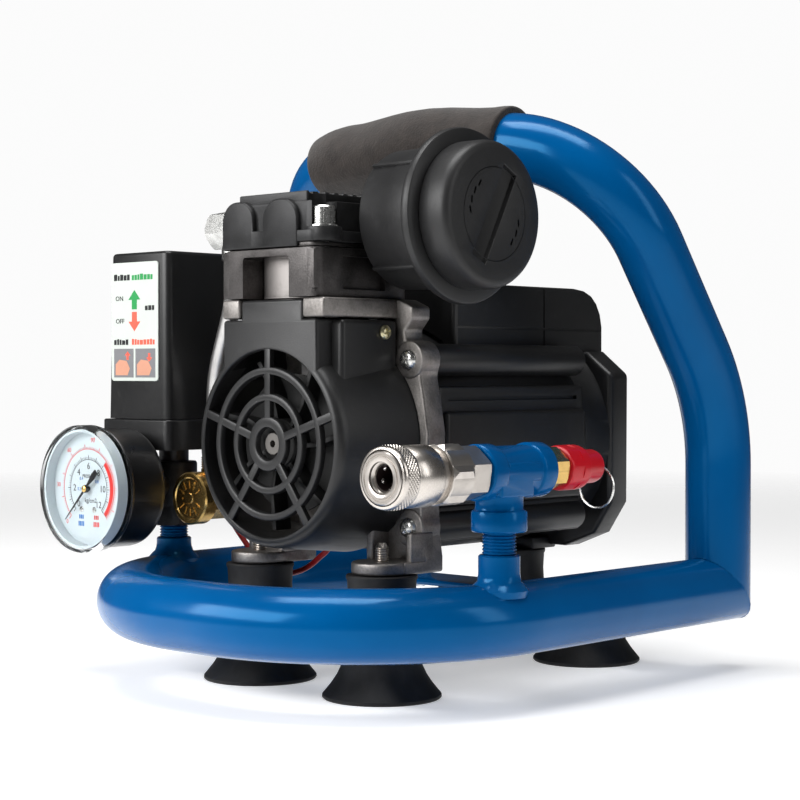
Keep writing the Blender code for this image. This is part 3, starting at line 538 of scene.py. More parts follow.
class Solid:
    """A closed shape being worked, in millimetres."""

    def __init__(self, bm: Optional[bmesh.types.BMesh] = None) -> None:
        """Take a mesh, or start with nothing."""
        self.bm = bm or bmesh.new()

    @classmethod
    def turned(cls, profile: Outline, axis: str = "Z", centre: Point = (0, 0, 0), sides: int = 64) -> "Solid":
        """Turn a profile on the lathe.

        Args:
            profile: (radius, height) places; it may start and end on the axis.
            axis: Axis of the lathe.
            centre: Where the axis stands.
            sides: Facets round the axis.

        Returns:
            The turned shape.
        """
        bm = bmesh.new()
        verts = [bm.verts.new((r, 0.0, h)) for r, h in profile]
        ends_on_axis = profile[0][0] < 1e-6 and profile[-1][0] < 1e-6
        count = len(verts)
        edges = [bm.edges.new((verts[i], verts[(i + 1) % count]))
                 for i in range(count - 1 if ends_on_axis else count)]
        bmesh.ops.spin(bm, geom=verts + edges, cent=(0, 0, 0), axis=(0, 0, 1),
                       angle=2 * math.pi, steps=sides, use_merge=True)
        bmesh.ops.remove_doubles(bm, verts=bm.verts, dist=0.0005)
        return cls(bm).laid(axis, centre)

    @classmethod
    def plate(cls, outline: Outline, low: float, high: float, axis: str = "Z",
              centre: Point = (0, 0, 0)) -> "Solid":
        """Extrude a flat outline.

        Args:
            outline: Places round the edge.
            low: Where the plate starts along its axis.
            high: Where it ends.
            axis: Direction of its thickness.
            centre: Offset of the whole plate.

        Returns:
            The plate.
        """
        bm = bmesh.new()
        face = bm.faces.new([bm.verts.new((a, b, low)) for a, b in outline])
        grown = bmesh.ops.extrude_face_region(bm, geom=[face])
        top = [g for g in grown["geom"] if isinstance(g, bmesh.types.BMVert)]
        bmesh.ops.translate(bm, verts=top, vec=(0, 0, high - low))
        return cls(bm).laid(axis, centre)

    @classmethod
    def bar(cls, radius: float, low: float, high: float, axis: str = "Z", centre: Point = (0, 0, 0),
            sides: int = 48, turn: float = 0.0) -> "Solid":
        """A round bar, or with six sides a hexagonal one."""
        return cls.plate(ring_points(radius, sides, turn), low, high, axis, centre)

    @classmethod
    def slab(cls, x: Point, y: Point, z: Point) -> "Solid":
        """A box between two limits on each axis."""
        bm = bmesh.new()
        bmesh.ops.create_cube(bm, size=1.0)
        bmesh.ops.scale(bm, verts=bm.verts, vec=(x[1] - x[0], y[1] - y[0], z[1] - z[0]))
        bmesh.ops.translate(bm, verts=bm.verts,
                            vec=((x[0] + x[1]) / 2, (y[0] + y[1]) / 2, (z[0] + z[1]) / 2))
        return cls(bm)

    @classmethod
    def strand(cls, points: Sequence[Point], radius: float, sides: int = 16, steps: int = 8,
               closed: bool = False) -> "Solid":
        """A round wire along a smooth line.

        Args:
            points: Places the line passes through.
            radius: Radius of the wire.
            sides: Facets round it.
            steps: Pieces between two places.
            closed: Join the end to the start.

        Returns:
            The wire, with flat ends unless it is closed.
        """
        curve = bpy.data.curves.new("strand", "CURVE")
        curve.dimensions = "3D"
        curve.resolution_u = steps
        curve.bevel_depth = radius
        curve.bevel_resolution = max(0, sides // 4 - 1)
        curve.use_fill_caps = not closed
        spline = curve.splines.new("BEZIER")
        spline.bezier_points.add(len(points) - 1)
        for knot, place in zip(spline.bezier_points, points):
            knot.co = place
            knot.handle_left_type = knot.handle_right_type = "AUTO"
        spline.use_cyclic_u = closed
        holder = bpy.data.objects.new("strand", curve)
        bpy.context.scene.collection.objects.link(holder)
        mesh = bpy.data.meshes.new_from_object(holder.evaluated_get(bpy.context.evaluated_depsgraph_get()))
        bm = bmesh.new()
        bm.from_mesh(mesh)
        bmesh.ops.remove_doubles(bm, verts=bm.verts, dist=0.0005)
        bpy.data.objects.remove(holder)
        bpy.data.curves.remove(curve)
        bpy.data.meshes.remove(mesh)
        return cls(bm)

    @classmethod
    def lettering(cls, words: str, height: float, depth: float, axis: str = "Y",
                  centre: Point = (0, 0, 0), turn: float = 0.0) -> "Solid":
        """Raised or printed figures, standing in the working plane of an axis.

        Args:
            words: Figures to draw.
            height: Height of a figure.
            depth: Thickness of the figures.
            axis: Direction of their thickness.
            centre: Middle of the word.
            turn: Turn in its own plane, in radians.

        Returns:
            The figures as one shape.
        """
        text = bpy.data.curves.new("figures", "FONT")
        text.body = words
        text.size = height * 1.38
        text.align_x, text.align_y = "CENTER", "CENTER"
        text.extrude = depth / 2
        text.resolution_u = 3
        holder = bpy.data.objects.new("figures", text)
        bpy.context.scene.collection.objects.link(holder)
        mesh = bpy.data.meshes.new_from_object(holder.evaluated_get(bpy.context.evaluated_depsgraph_get()))
        bm = bmesh.new()
        bm.from_mesh(mesh)
        bpy.data.objects.remove(holder)
        bpy.data.curves.remove(text)
        bpy.data.meshes.remove(mesh)
        bmesh.ops.remove_doubles(bm, verts=bm.verts, dist=0.0005)
        bmesh.ops.rotate(bm, verts=bm.verts, cent=(0, 0, 0), matrix=Matrix.Rotation(turn, 3, "Z"))
        return cls(bm).laid(axis, centre)

    def laid(self, axis: str, centre: Point = (0, 0, 0)) -> "Solid":
        """Send the working Z to an axis, move the shape and turn its faces out."""
        for v in self.bm.verts:
            a, b, h = v.co
            v.co = Vector({"X": (h, a, b), "Y": (a, h, b), "Z": (a, b, h)}[axis]) + Vector(centre)
        return self.outward()

    def outward(self) -> "Solid":
        """Turn every face outwards."""
        bmesh.ops.recalc_face_normals(self.bm, faces=self.bm.faces)
        if self.bm.calc_volume(signed=True) < 0:
            bmesh.ops.reverse_faces(self.bm, faces=self.bm.faces)
        return self

    def moved(self, by: Point) -> "Solid":
        """Shift the shape."""
        bmesh.ops.translate(self.bm, verts=self.bm.verts, vec=by)
        return self

    def swung(self, angle: float, axis: str, centre: Point = (0, 0, 0)) -> "Solid":
        """Turn the shape about a line.

        Args:
            angle: Turn in radians.
            axis: Direction of the line.
            centre: A place on it.

        Returns:
            The same shape.
        """
        bmesh.ops.rotate(self.bm, verts=self.bm.verts, cent=centre, matrix=Matrix.Rotation(angle, 3, axis))
        return self

    def shaped(self, rule: Callable[[Vector], Vector]) -> "Solid":
        """Move every vertex by a rule."""
        for v in self.bm.verts:
            v.co = rule(v.co.copy())
        return self

    def copy(self) -> "Solid":
        """A second shape like this one."""
        return Solid(self.bm.copy())

    def with_loose(self, *others: "Solid") -> "Solid":
        """Lay other shapes into the same piece without joining their surfaces."""
        for other in others:
            mesh = bpy.data.meshes.new("loose")
            other.bm.to_mesh(mesh)
            self.bm.from_mesh(mesh)
            other.bm.free()
            bpy.data.meshes.remove(mesh)
        return self

    def _worked(self, others: Iterable["Solid"], operation: str) -> "Solid":
        """Run solid boolean work with each of the others."""
        mesh = bpy.data.meshes.new("work")
        self.bm.to_mesh(mesh)
        self.bm.free()
        work = bpy.data.objects.new("work", mesh)
        bpy.context.scene.collection.objects.link(work)
        tools = []
        for other in others:
            tool_mesh = bpy.data.meshes.new("tool")
            other.bm.to_mesh(tool_mesh)
            other.bm.free()
            tool = bpy.data.objects.new("tool", tool_mesh)
            bpy.context.scene.collection.objects.link(tool)
            step = work.modifiers.new("step", "BOOLEAN")
            step.operation, step.solver, step.object = operation, "EXACT", tool
            tools.append(tool)
        result = bpy.data.meshes.new_from_object(work.evaluated_get(bpy.context.evaluated_depsgraph_get()))
        self.bm = bmesh.new()
        self.bm.from_mesh(result)
        bmesh.ops.remove_doubles(self.bm, verts=self.bm.verts, dist=0.002)
        for item in [work] + tools:
            old = item.data
            bpy.data.objects.remove(item)
            bpy.data.meshes.remove(old)
        bpy.data.meshes.remove(result)
        return self

    def cut(self, *tools: "Solid") -> "Solid":
        """Cut other shapes away."""
        return self._worked(tools, "DIFFERENCE")

    def joined(self, *parts: "Solid") -> "Solid":
        """Weld other shapes on."""
        return self._worked(parts, "UNION")

    def kept(self, *limits: "Solid") -> "Solid":
        """Keep only what lies inside other shapes."""
        return self._worked(limits, "INTERSECT")

    def eased(self, width: float, segments: int = 2, angle: float = 28.0,
              where: Optional[Callable[[Vector], bool]] = None) -> "Solid":
        """Round the sharp edges.

        Args:
            width: Width of the rounding.
            segments: Facets across it.
            angle: Least angle of an edge that counts as sharp, in degrees.
            where: Test on an edge's middle, for rounding only some of them.

        Returns:
            The same shape.
        """
        bmesh.ops.dissolve_limit(self.bm, angle_limit=math.radians(0.6), verts=self.bm.verts, edges=self.bm.edges)
        sharp = [e for e in self.bm.edges if len(e.link_faces) == 2
                 and e.calc_face_angle(0.0) > math.radians(angle)
                 and (where is None or where((e.verts[0].co + e.verts[1].co) / 2))]
        bmesh.ops.bevel(self.bm, geom=sharp, offset=width, offset_type="OFFSET", affect="EDGES",
                        segments=segments, profile=0.5, material=-1, clamp_overlap=True, loop_slide=True)
        return self

    def roughened(self, depth: float, size: float, seed: int = 3) -> "Solid":
        """Push vertices in and out in soft lumps, as in a weld bead or a casting.

        Args:
            depth: Greatest movement.
            size: Size of a lump.
            seed: Which lumps.

        Returns:
            The same shape.
        """
        from mathutils import noise
        self.bm.normal_update()
        shift = Vector((seed * 7.3, seed * 3.1, seed * 5.7))
        for v in self.bm.verts:
            v.co += v.normal * (noise.noise(v.co / size + shift) * depth)
        return self


class Pipe:
    """A tube worked on the bender: a circle carried along straights and bends."""

    def __init__(self, radius: float, start: Point, along: Point, sides: int = 56) -> None:
        """Stand the first circle at a place, square to a direction."""
        self.bm = bmesh.new()
        made = bmesh.ops.create_circle(self.bm, cap_ends=False, segments=sides, radius=radius)
        turn = Vector(along).to_track_quat("Z", "Y").to_matrix()
        bmesh.ops.rotate(self.bm, verts=made["verts"], cent=(0, 0, 0), matrix=turn)
        bmesh.ops.translate(self.bm, verts=made["verts"], vec=start)
        self.rim = list(self.bm.edges)

    def straight(self, by: Point, steps: int = 1) -> "Pipe":
        """Draw the tube out straight."""
        for _ in range(steps):
            made = bmesh.ops.extrude_edge_only(self.bm, edges=self.rim)
            verts = [g for g in made["geom"] if isinstance(g, bmesh.types.BMVert)]
            bmesh.ops.translate(self.bm, verts=verts, vec=Vector(by) / steps)
            self.rim = [g for g in made["geom"] if isinstance(g, bmesh.types.BMEdge)
                        and all(v in set(verts) for v in g.verts)]
        return self

    def bend(self, centre: Point, axis: Point, angle: float, steps: int = 16) -> "Pipe":
        """Bend the tube round a post.

        Args:
            centre: Where the post stands.
            axis: Direction of the post.
            angle: Angle of the bend in degrees.
            steps: Rings in the bend.

        Returns:
            The same tube.
        """
        verts = {v for e in self.rim for v in e.verts}
        made = bmesh.ops.spin(self.bm, geom=list(verts) + self.rim, cent=centre, axis=axis,
                              angle=math.radians(angle), steps=steps, use_merge=False)
        self.rim = [g for g in made["geom_last"] if isinstance(g, bmesh.types.BMEdge)]
        return self

    def closed(self) -> Solid:
        """Cap both ends and hand the tube back as a solid."""
        bmesh.ops.remove_doubles(self.bm, verts=self.bm.verts, dist=0.0005)
        bmesh.ops.holes_fill(self.bm, edges=[e for e in self.bm.edges if e.is_boundary], sides=0)
        bmesh.ops.recalc_face_normals(self.bm, faces=self.bm.faces)
        return Solid(self.bm)


class Bench:
    """Puts bench shapes into the frame."""

    def __init__(self) -> None:
        """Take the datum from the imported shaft: its middle and its front end."""
        low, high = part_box("rotor")
        self.shift = Vector(((low.x + high.x) / 2, low.y - 0.0436, 0.0))

    def metres(self, place: Point) -> Vector:
        """A bench place in the frame's metres."""
        return Vector(place) * MM + self.shift

    def fit(self, name: str, solid: Solid, finish: Finish, body: str = "machine",
            stands_for: Sequence[str] = (), slot: Optional[str] = None, crease: float = 34.0) -> bpy.types.Object:
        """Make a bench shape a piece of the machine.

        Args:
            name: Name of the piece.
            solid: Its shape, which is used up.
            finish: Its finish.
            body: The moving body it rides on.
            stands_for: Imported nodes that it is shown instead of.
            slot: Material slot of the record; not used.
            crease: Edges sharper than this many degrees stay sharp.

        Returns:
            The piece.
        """
        mesh = bpy.data.meshes.new(name)
        solid.outward().bm.to_mesh(mesh)
        solid.bm.free()
        mesh.transform(Matrix.Translation(self.shift) @ Matrix.Scale(MM, 4))
        mesh.shade_smooth()
        mesh.set_sharp_from_angle(angle=math.radians(crease))
        mesh.materials.append(finish.material())
        piece = bpy.data.objects.new(name, mesh)
        bpy.context.scene.collection.objects.link(piece)
        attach(piece, body)
        if stands_for:
            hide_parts(*stands_for)
        return piece


def dress(frame: dict[str, Any], finishes: dict[str, Finish]) -> None:
    """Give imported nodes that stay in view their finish.

    Args:
        frame: The loaded frame.
        finishes: Finish by node name.
    """
    for node, finish in finishes.items():
        piece = frame["nodes"][node]
        piece.data.materials.clear()
        piece.data.materials.append(finish.material())


# ---------------------------------------------------------------- shared sizes

SHAFT_Z = 107.4
SHAFT = (0.0, 0.0, SHAFT_Z)
CYLINDER = (1.0, 68.5)
LEFT_STACK = (-100.0, 73.0)
RIGHT_STACK = (100.0, 75.0)
EARS = tuple((sx * 42.5, SHAFT_Z + sz * 36.0) for sx in (-1, 1) for sz in (-1, 1))


def thread(radius: float, low: float, high: float, pitch: float = 1.337, depth: float = 0.72) -> list[tuple[float, float]]:
    """Profile of a thread, from low to high.

    Args:
        radius: Outside radius.
        low: Start of the thread.
        high: End of the thread.
        pitch: Distance between crests.
        depth: Depth of the groove.

    Returns:
        Places for a lathe profile.
    """
    turns = int((high - low) / pitch)
    places = []
    for i in range(turns):
        z = low + i * pitch
        places += [(radius - depth, z), (radius, z + pitch * 0.42), (radius, z + pitch * 0.58)]
    return places + [(radius - depth, low + turns * pitch)]


def crossed_recess(radius: float, depth: float, axis: str, centre: Point, turn: float = 0.3) -> list[Solid]:
    """Two crossed bars that cut a screwdriver recess.

    Args:
        radius: Reach of the cross.
        depth: Depth from the centre outwards along the axis, signed.
        axis: Axis of the screw.
        centre: Middle of the head's face.
        turn: Turn of the cross in radians.

    Returns:
        The cutting shapes.
    """
    low, high = sorted((-abs(depth) * 0.0 - depth, depth * 0.4))
    bars = []
    for quarter in (0.0, math.pi / 2):
        along = Vector((math.cos(turn + quarter), math.sin(turn + quarter)))
        side = Vector((-along.y, along.x))
        outline = [tuple(along * (a * radius) + side * (b * radius * 0.2))
                   for a, b in ((-1, -1), (1, -1), (1, 1), (-1, 1))]
        bars.append(Solid.plate(outline, low, high, axis, centre))
    return bars


@dataclass
class TankFrame:
    """The air tank: a bent tube hoop on the floor side and a leaning tube handle with a foam grip."""

    bench: Bench
    tube: float = 15.0
    half_width: float = 100.0
    corner: float = 90.0
    height: float = 37.5
    rear: float = 232.5
    lean_start: float = 95.0
    lean_bend: float = 85.0
    lean: float = 37.8
    arch: float = 116.5
    arch_corner: float = 57.0
    crown: float = 3.5
    grip: float = 18.0

    def _lean_direction(self) -> Vector:
        """Direction in which the handle leans."""
        a = math.radians(self.lean)
        return Vector((0.0, -math.sin(a), math.cos(a)))

    def _lean_base(self) -> Vector:
        """Where the straight leaning part starts, on the middle plane."""
        a = math.radians(self.lean)
        return Vector((0.0, self.rear - self.lean_bend * (1 - math.cos(a)),
                       self.lean_start + self.lean_bend * math.sin(a)))

    def _crowned(self, place: Vector) -> Vector:
        """Lift the middle of the handle by its crown."""
        flat = self.half_width - self.arch_corner
        if abs(place.x) < flat and place.z > 170:
            place += self._lean_direction() * (self.crown * (1 - (place.x / flat) ** 2) ** 2)
        return place

    def _mitred(self, pipe: Pipe, keep_above: bool) -> Solid:
        """Cut both ends of a tube on the mitre plane and close them."""
        sign = -1.0 if keep_above else 1.0
        gap = 0.12 if keep_above else -0.12
        bmesh.ops.bisect_plane(pipe.bm, geom=list(pipe.bm.verts) + list(pipe.bm.edges) + list(pipe.bm.faces),
                               dist=1e-4, plane_co=(0, self.rear + gap, self.height + gap),
                               plane_no=(0, sign, sign), clear_outer=True)
        return pipe.closed()

    def _hoop(self) -> Solid:
        """The lower tube."""
        reach, flat = self.rear + 22 - self.corner, self.half_width - self.corner
        pipe = Pipe(self.tube, (-self.half_width, self.rear + 22, self.height), (0, -1, 0))
        pipe.straight((0, -reach, 0), 6).bend((-flat, self.corner, self.height), (0, 0, 1), 90, 32)
        pipe.straight((2 * flat, 0, 0), 3).bend((flat, self.corner, self.height), (0, 0, 1), 90, 32)
        pipe.straight((0, reach, 0), 6)
        return self._mitred(pipe, keep_above=False)

    def _handle(self) -> Solid:
        """The upper tube."""
        lean, base = self._lean_direction(), self._lean_base()
        flat, leg = self.half_width - self.arch_corner, self.arch - self.arch_corner
        across = Vector((0, -lean.y, lean.z)).cross(Vector((1, 0, 0)))
        axis = lean.cross(Vector((1, 0, 0)))
        post = Vector((0, self.rear - self.lean_bend, self.lean_start))
        pipe = Pipe(self.tube, (-self.half_width, self.rear, self.height - 22), (0, 0, 1))
        pipe.straight((0, 0, self.lean_start - self.height + 22), 4).bend(post, (1, 0, 0), self.lean, 14)
        pipe.straight(lean * leg, 5)
        middle = base + lean * leg
        pipe.bend(middle + Vector((-flat, 0, 0)), axis, 90, 24).straight((2 * flat, 0, 0), 20)
        pipe.bend(middle + Vector((flat, 0, 0)), axis, 90, 24).straight(lean * -leg, 5)
        pipe.bend(post, (-1, 0, 0), self.lean, 14).straight((0, 0, -(self.lean_start - self.height + 22)), 4)
        return self._mitred(pipe, keep_above=True).shaped(self._crowned)

    def _foam(self) -> Solid:
        """The foam sleeve, cut square at both ends."""
        lean, base = self._lean_direction(), self._lean_base()
        flat = self.half_width - self.arch_corner
        axis = lean.cross(Vector((1, 0, 0)))
        middle = base + lean * (self.arch - self.arch_corner)
        start, end = math.asin((62 - flat) / self.arch_corner), math.asin((50 - flat) / self.arch_corner)
        first = middle + Vector((-flat, 0, 0)) + (lean * math.cos(start)
                                                  - Vector((1, 0, 0)) * math.sin(start)) * self.arch_corner
        heading = Vector((1, 0, 0)) * math.cos(start) + lean * math.sin(start)
        pipe = Pipe(self.grip, first, heading, 72)
        pipe.bend(middle + Vector((-flat, 0, 0)), axis, math.degrees(start), 10)
        pipe.straight((2 * flat, 0, 0), 40)
        pipe.bend(middle + Vector((flat, 0, 0)), axis, math.degrees(end), 5)
        return pipe.closed().shaped(self._crowned).eased(1.3, 3, 50).roughened(0.2, 9.0, 4)

    def _nipple(self, centre: Point, radius: float, shoulder: float, thread_radius: float, top: float) -> Solid:
        """A threaded socket with its weld flare."""
        profile = [(0, 45), (11.5, 47.5), (12.2, 50.2), (10.4, 52.4), (9.0, 53.6), (radius + 0.15, 55.6),
                   (radius, 57), (radius, shoulder - 0.6), (radius - 0.6, shoulder)]
        profile += thread(thread_radius, shoulder + 0.1, top) + [(0, top)]
        return Solid.turned(profile, "Z", (*centre, 0), 48)

    def _weld_bead(self, side: float) -> Solid:
        """Bead round the mitre between hoop and handle."""
        reach = self.tube - 0.9
        places = [(side * self.half_width + (self.tube - 0.9) * math.cos(a), self.rear + reach * math.sin(a),
                   self.height - reach * math.sin(a)) for a in [2 * math.pi * i / 24 for i in range(24)]]
        return Solid.strand(places, 1.0, 12, 5, True).roughened(0.3, 2.2, 5)

    def build(self) -> None:
        """Make the hoop, the handle and the grip."""
        front = both_sides([(0, -15), (79.5, -15), (84.5, 0), (86.8, 15), (0, 15)])
        rear = both_sides([(0, -14), (86.8, -14), (86.8, 14), (0, 14)])
        hoop = self._hoop().with_loose(
            Solid.plate(front, 30, 33, "Z", (0, 71.4, 0)).eased(0.7),
            Solid.plate(rear, 30, 33, "Z", (0, 213.5, 0)).eased(0.7),
            self._nipple(LEFT_STACK, 8.2, 60.0, 6.7, 72.0),
            self._nipple(RIGHT_STACK, 8.5, 64.4, 6.95, 79.0),
            self._weld_bead(-1), self._weld_bead(1))
        self.bench.fit("tank_hoop_tube", hoop, Finish.BLUE, stands_for=["tank_hoop"], crease=40)
        self.bench.fit("handle_tube", self._handle(), Finish.BLUE, stands_for=["tank_handle"], crease=40)
        self.bench.fit("foam_grip", self._foam(), Finish.FOAM, stands_for=["handle_grip"], crease=60)
        LOG.info("tank frame: hoop, handle and foam grip")


@dataclass
class Footing:
    """Suction feet under the straps and rubber mounts with bonded studs on top of them."""

    bench: Bench
    across: float = 38.0
    rows: tuple[float, float] = (71.4, 213.5)
    rest: float = 205.0
    bush: float = 15.3

    def _foot(self, place: Point) -> Solid:
        """A conical rubber foot with a hollow sole."""
        profile = [(0, 8.4), (7, 7.4), (14, 3.6), (19, 0.7), (21.5, 0.0), (24.9, 0.0), (25.5, 0.6), (25.4, 1.6),
                   (24.3, 2.9), (21.6, 6.2), (19.2, 9.8), (17.4, 13.6), (16.2, 17.6), (15.4, 22.0),
                   (15.0, 26.0), (14.8, 28.8), (14.0, 29.7), (0, 29.7)]
        return Solid.turned(profile, "Z", place, 72)

    def _mount(self, place: Point) -> Solid:
        """A rubber bush, slightly waisted between its bonded washers."""
        low, high = 33.3, 52.2
        profile = [(0, low), (self.bush - 0.3, low), (self.bush, low + 0.4), (self.bush, low + 1.4),
                   (self.bush - 0.5, low + 2.4), (self.bush - 0.9, (low + high) / 2),
                   (self.bush - 0.5, high - 2.4), (self.bush, high - 1.4), (self.bush, high - 0.4),
                   (self.bush - 0.3, high), (0, high)]
        return Solid.turned(profile, "Z", place, 56)

    def _stud(self, place: Point, top: float) -> Solid:
        """The threaded stud that stands out of a bush at both ends."""
        profile = [(0, 25.3), (2.9, 25.3), (2.9, 33.0), (2.4, 33.4), (2.4, 52.0)]
        profile += thread(3.0, 52.1, top - 0.9, 1.0, 0.55) + [(1.7, top), (0, top)]
        return Solid.turned(profile, "Z", place, 32)

    def build(self) -> None:
        """Make the feet and mounts."""
        for row, y in zip(("front", "rear"), self.rows):
            for side, sx in (("left", -1), ("right", 1)):
                name = f"foot_{row}_{side}"
                self.bench.fit(f"sucker_{row}_{side}", self._foot((sx * self.across, y, 0)), Finish.RUBBER,
                               stands_for=[name])
        for name, x, y, top in (("mount_front_left", -self.across, self.rows[0], 65.6),
                                ("mount_front_right", self.across, self.rows[0], 65.6),
                                ("mount_rear", 0.0, self.rest, 59.3)):
            self.bench.fit(f"bush_{name}", self._mount((x, y, 0)), Finish.RUBBER, stands_for=[name])
            self.bench.fit(f"stud_{name}", self._stud((x, y, 0), top), Finish.DULL_NICKEL, slot=name)
        LOG.info("footing: four feet and three mounts")


@dataclass
class Crankcase:
    """The grey casting between pump and motor, with its deck arms and two lugs."""

    bench: Bench
    flange: tuple[float, float] = (84.0, 95.7)
    deck: tuple[float, float] = (161.0, 169.3)
    lug: tuple[float, float] = (52.5, 57.8)

    def build(self) -> None:
        """Make the casting."""
        low, high = self.lug
        half = [(0, 160), (22, 160), (22, self.deck[1]), (36, self.deck[1]), (44, 166), (44, 161), (39.5, 156),
                (40, 152), (47, 149), (50, 143), (48.5, 136), (50.5, 127), (53, 112), (52.5, 95),
                (49.5, 82), (50, 68), (51.5, 59), (51.5, low), (26, low), (26, high), (20, 62), (0, 63)]
        body = Solid.plate(both_sides(half), *self.flange, axis="Y").eased(1.2, 3, 20)
        extra = [Solid.slab(x, (39.7, 90), self.deck).eased(1.3, 3) for x in ((-28, -17), (22, 35))]
        for sx in (-1, 1):
            x = sorted((sx * 26, sx * 51.5))
            extra += [Solid.slab(x, (71.4, 90), self.lug).eased(1.0, 3),
                      Solid.bar(13.0, low, high, "Z", (sx * 38, 71.4, 0), 48).eased(1.1, 3, 50),
                      Solid.bar(8.2, 83.2, 95, "Y", (sx * 42.5, 0, SHAFT_Z + 36), 40).eased(0.9, 3, 50),
                      Solid.bar(8.2, 83.2, 95, "Y", (sx * 42.5, 0, SHAFT_Z - 36), 40).eased(0.9, 3, 50),
                      Solid.slab(sorted((sx * 26, sx * 30)), (74, 90), (57, 74)).eased(1.0, 3),
                      Solid.slab(sorted((sx * 47.4, sx * 51)), (76, 90), (57, 70)).eased(1.0, 3)]
        cuts = [Solid.bar(14.0, 80, 99, "Y", SHAFT, 40)]
        for sx in (-1, 1):
            cuts.append(Solid.bar(3.4, 45, 62, "Z", (sx * 38, 71.4, 0), 24))
        body = body.joined(*extra).cut(*cuts)
        self.bench.fit("pump_casting", body, Finish.CASTING, stands_for=["crankcase"], crease=40)
        LOG.info("crankcase casting")


@dataclass
class FanCover:
    """Black shroud round the fan, with the round grille and the neck up to the cylinder."""

    bench: Bench
    front: float = 40.0
    rear: float = 83.7
    opening: float = 40.3
    spoke: float = 3.6
    rings: tuple[tuple[float, float], ...] = ((7.0, 11.7), (18.3, 21.6), (29.6, 32.9))

    def _shroud(self) -> Solid:
        """Barrel, neck, shoulders and tongue with the hollow inside."""
        front, rear = self.front, self.rear
        body = Solid.turned([(0, front), (41.4, front), (42.3, front + 0.25), (43.2, front + 0.9), (43.9, front + 1.9),
                             (44.4, front + 3.4), (44.8, front + 5.5), (48.8, rear), (0, rear)], "Y", SHAFT, 112)
        body = body.joined(Solid.slab((-28, 30), (front + 0.2, rear - 0.6), (SHAFT_Z + 1.3, 160.5)).eased(1.5, 4),
                           Solid.slab((-36, 36), (49.4, rear - 0.3), (SHAFT_Z + 3.1, 160.3)).eased(2.2, 4),
                           Solid.slab((-16.5, 21.5), (front + 0.4, rear - 2), (150, 168.8)).eased(1.4, 4))
        return body.cut(
            Solid.slab((-25.5, 27.5), (front + 3.2, rear + 6), (SHAFT_Z + 5.3, 158)),
            Solid.slab((-33.5, 33.5), (52, rear + 7), (SHAFT_Z + 7.1, 157.8)),
            Solid.slab((-14.5, 19.5), (front + 3.4, rear - 4), (150.7, 175)),
            Solid.turned([(0, front + 3), (40.32, front + 3), (45.8, rear + 5), (0, rear + 5)], "Y", SHAFT, 96),
            Solid.turned([(0, front - 3), (self.opening + 0.4, front - 3), (self.opening + 0.4, front),
                          (self.opening, front + 0.5), (self.opening, front + 4), (0, front + 4)],
                         "Y", SHAFT, 112))

    def _grille(self) -> list[Solid]:
        """Rings with rounded fronts and the five spokes."""
        front, back = self.front, self.front + 3.0
        parts = []
        for inner, outer in self.rings:
            parts.append(Solid.turned([(inner, back), (inner, front + 0.9), (inner + 0.35, front + 0.35),
                                       (inner + 1.0, front + 0.1), (outer - 1.0, front + 0.1),
                                       (outer - 0.35, front + 0.35), (outer, front + 0.9), (outer, back)],
                                      "Y", SHAFT, 80))
        for i in range(5):
            spoke = Solid.slab((10.6, self.opening + 0.6), (front + 0.25, back), (-self.spoke / 2, self.spoke / 2))
            spoke.eased(0.5, 2, 30)
            parts.append(spoke.swung(-math.pi / 2 - i * 2 * math.pi / 5, "Y").moved(SHAFT))
        return parts

    def build(self) -> None:
        """Make the cover and its side screw."""
        cover = self._shroud().with_loose(*self._grille())
        self.bench.fit("fan_shroud", cover, Finish.SHROUD, stands_for=["fan_cover"])
        head = Solid.turned([(0, 33), (1.5, 33), (1.5, 36.2), (3.1, 36.2), (3.1, 36.9), (2.6, 37.6), (1.6, 38.0),
                             (0, 38.1)], "X", (0, 75, 155), 36)
        head.cut(*crossed_recess(1.9, 0.9, "X", (38.1, 75, 155)))
        self.bench.fit("shroud_side_screw", head, Finish.YELLOW_ZINC, stands_for=["cover_screw"])
        LOG.info("fan cover with grille")


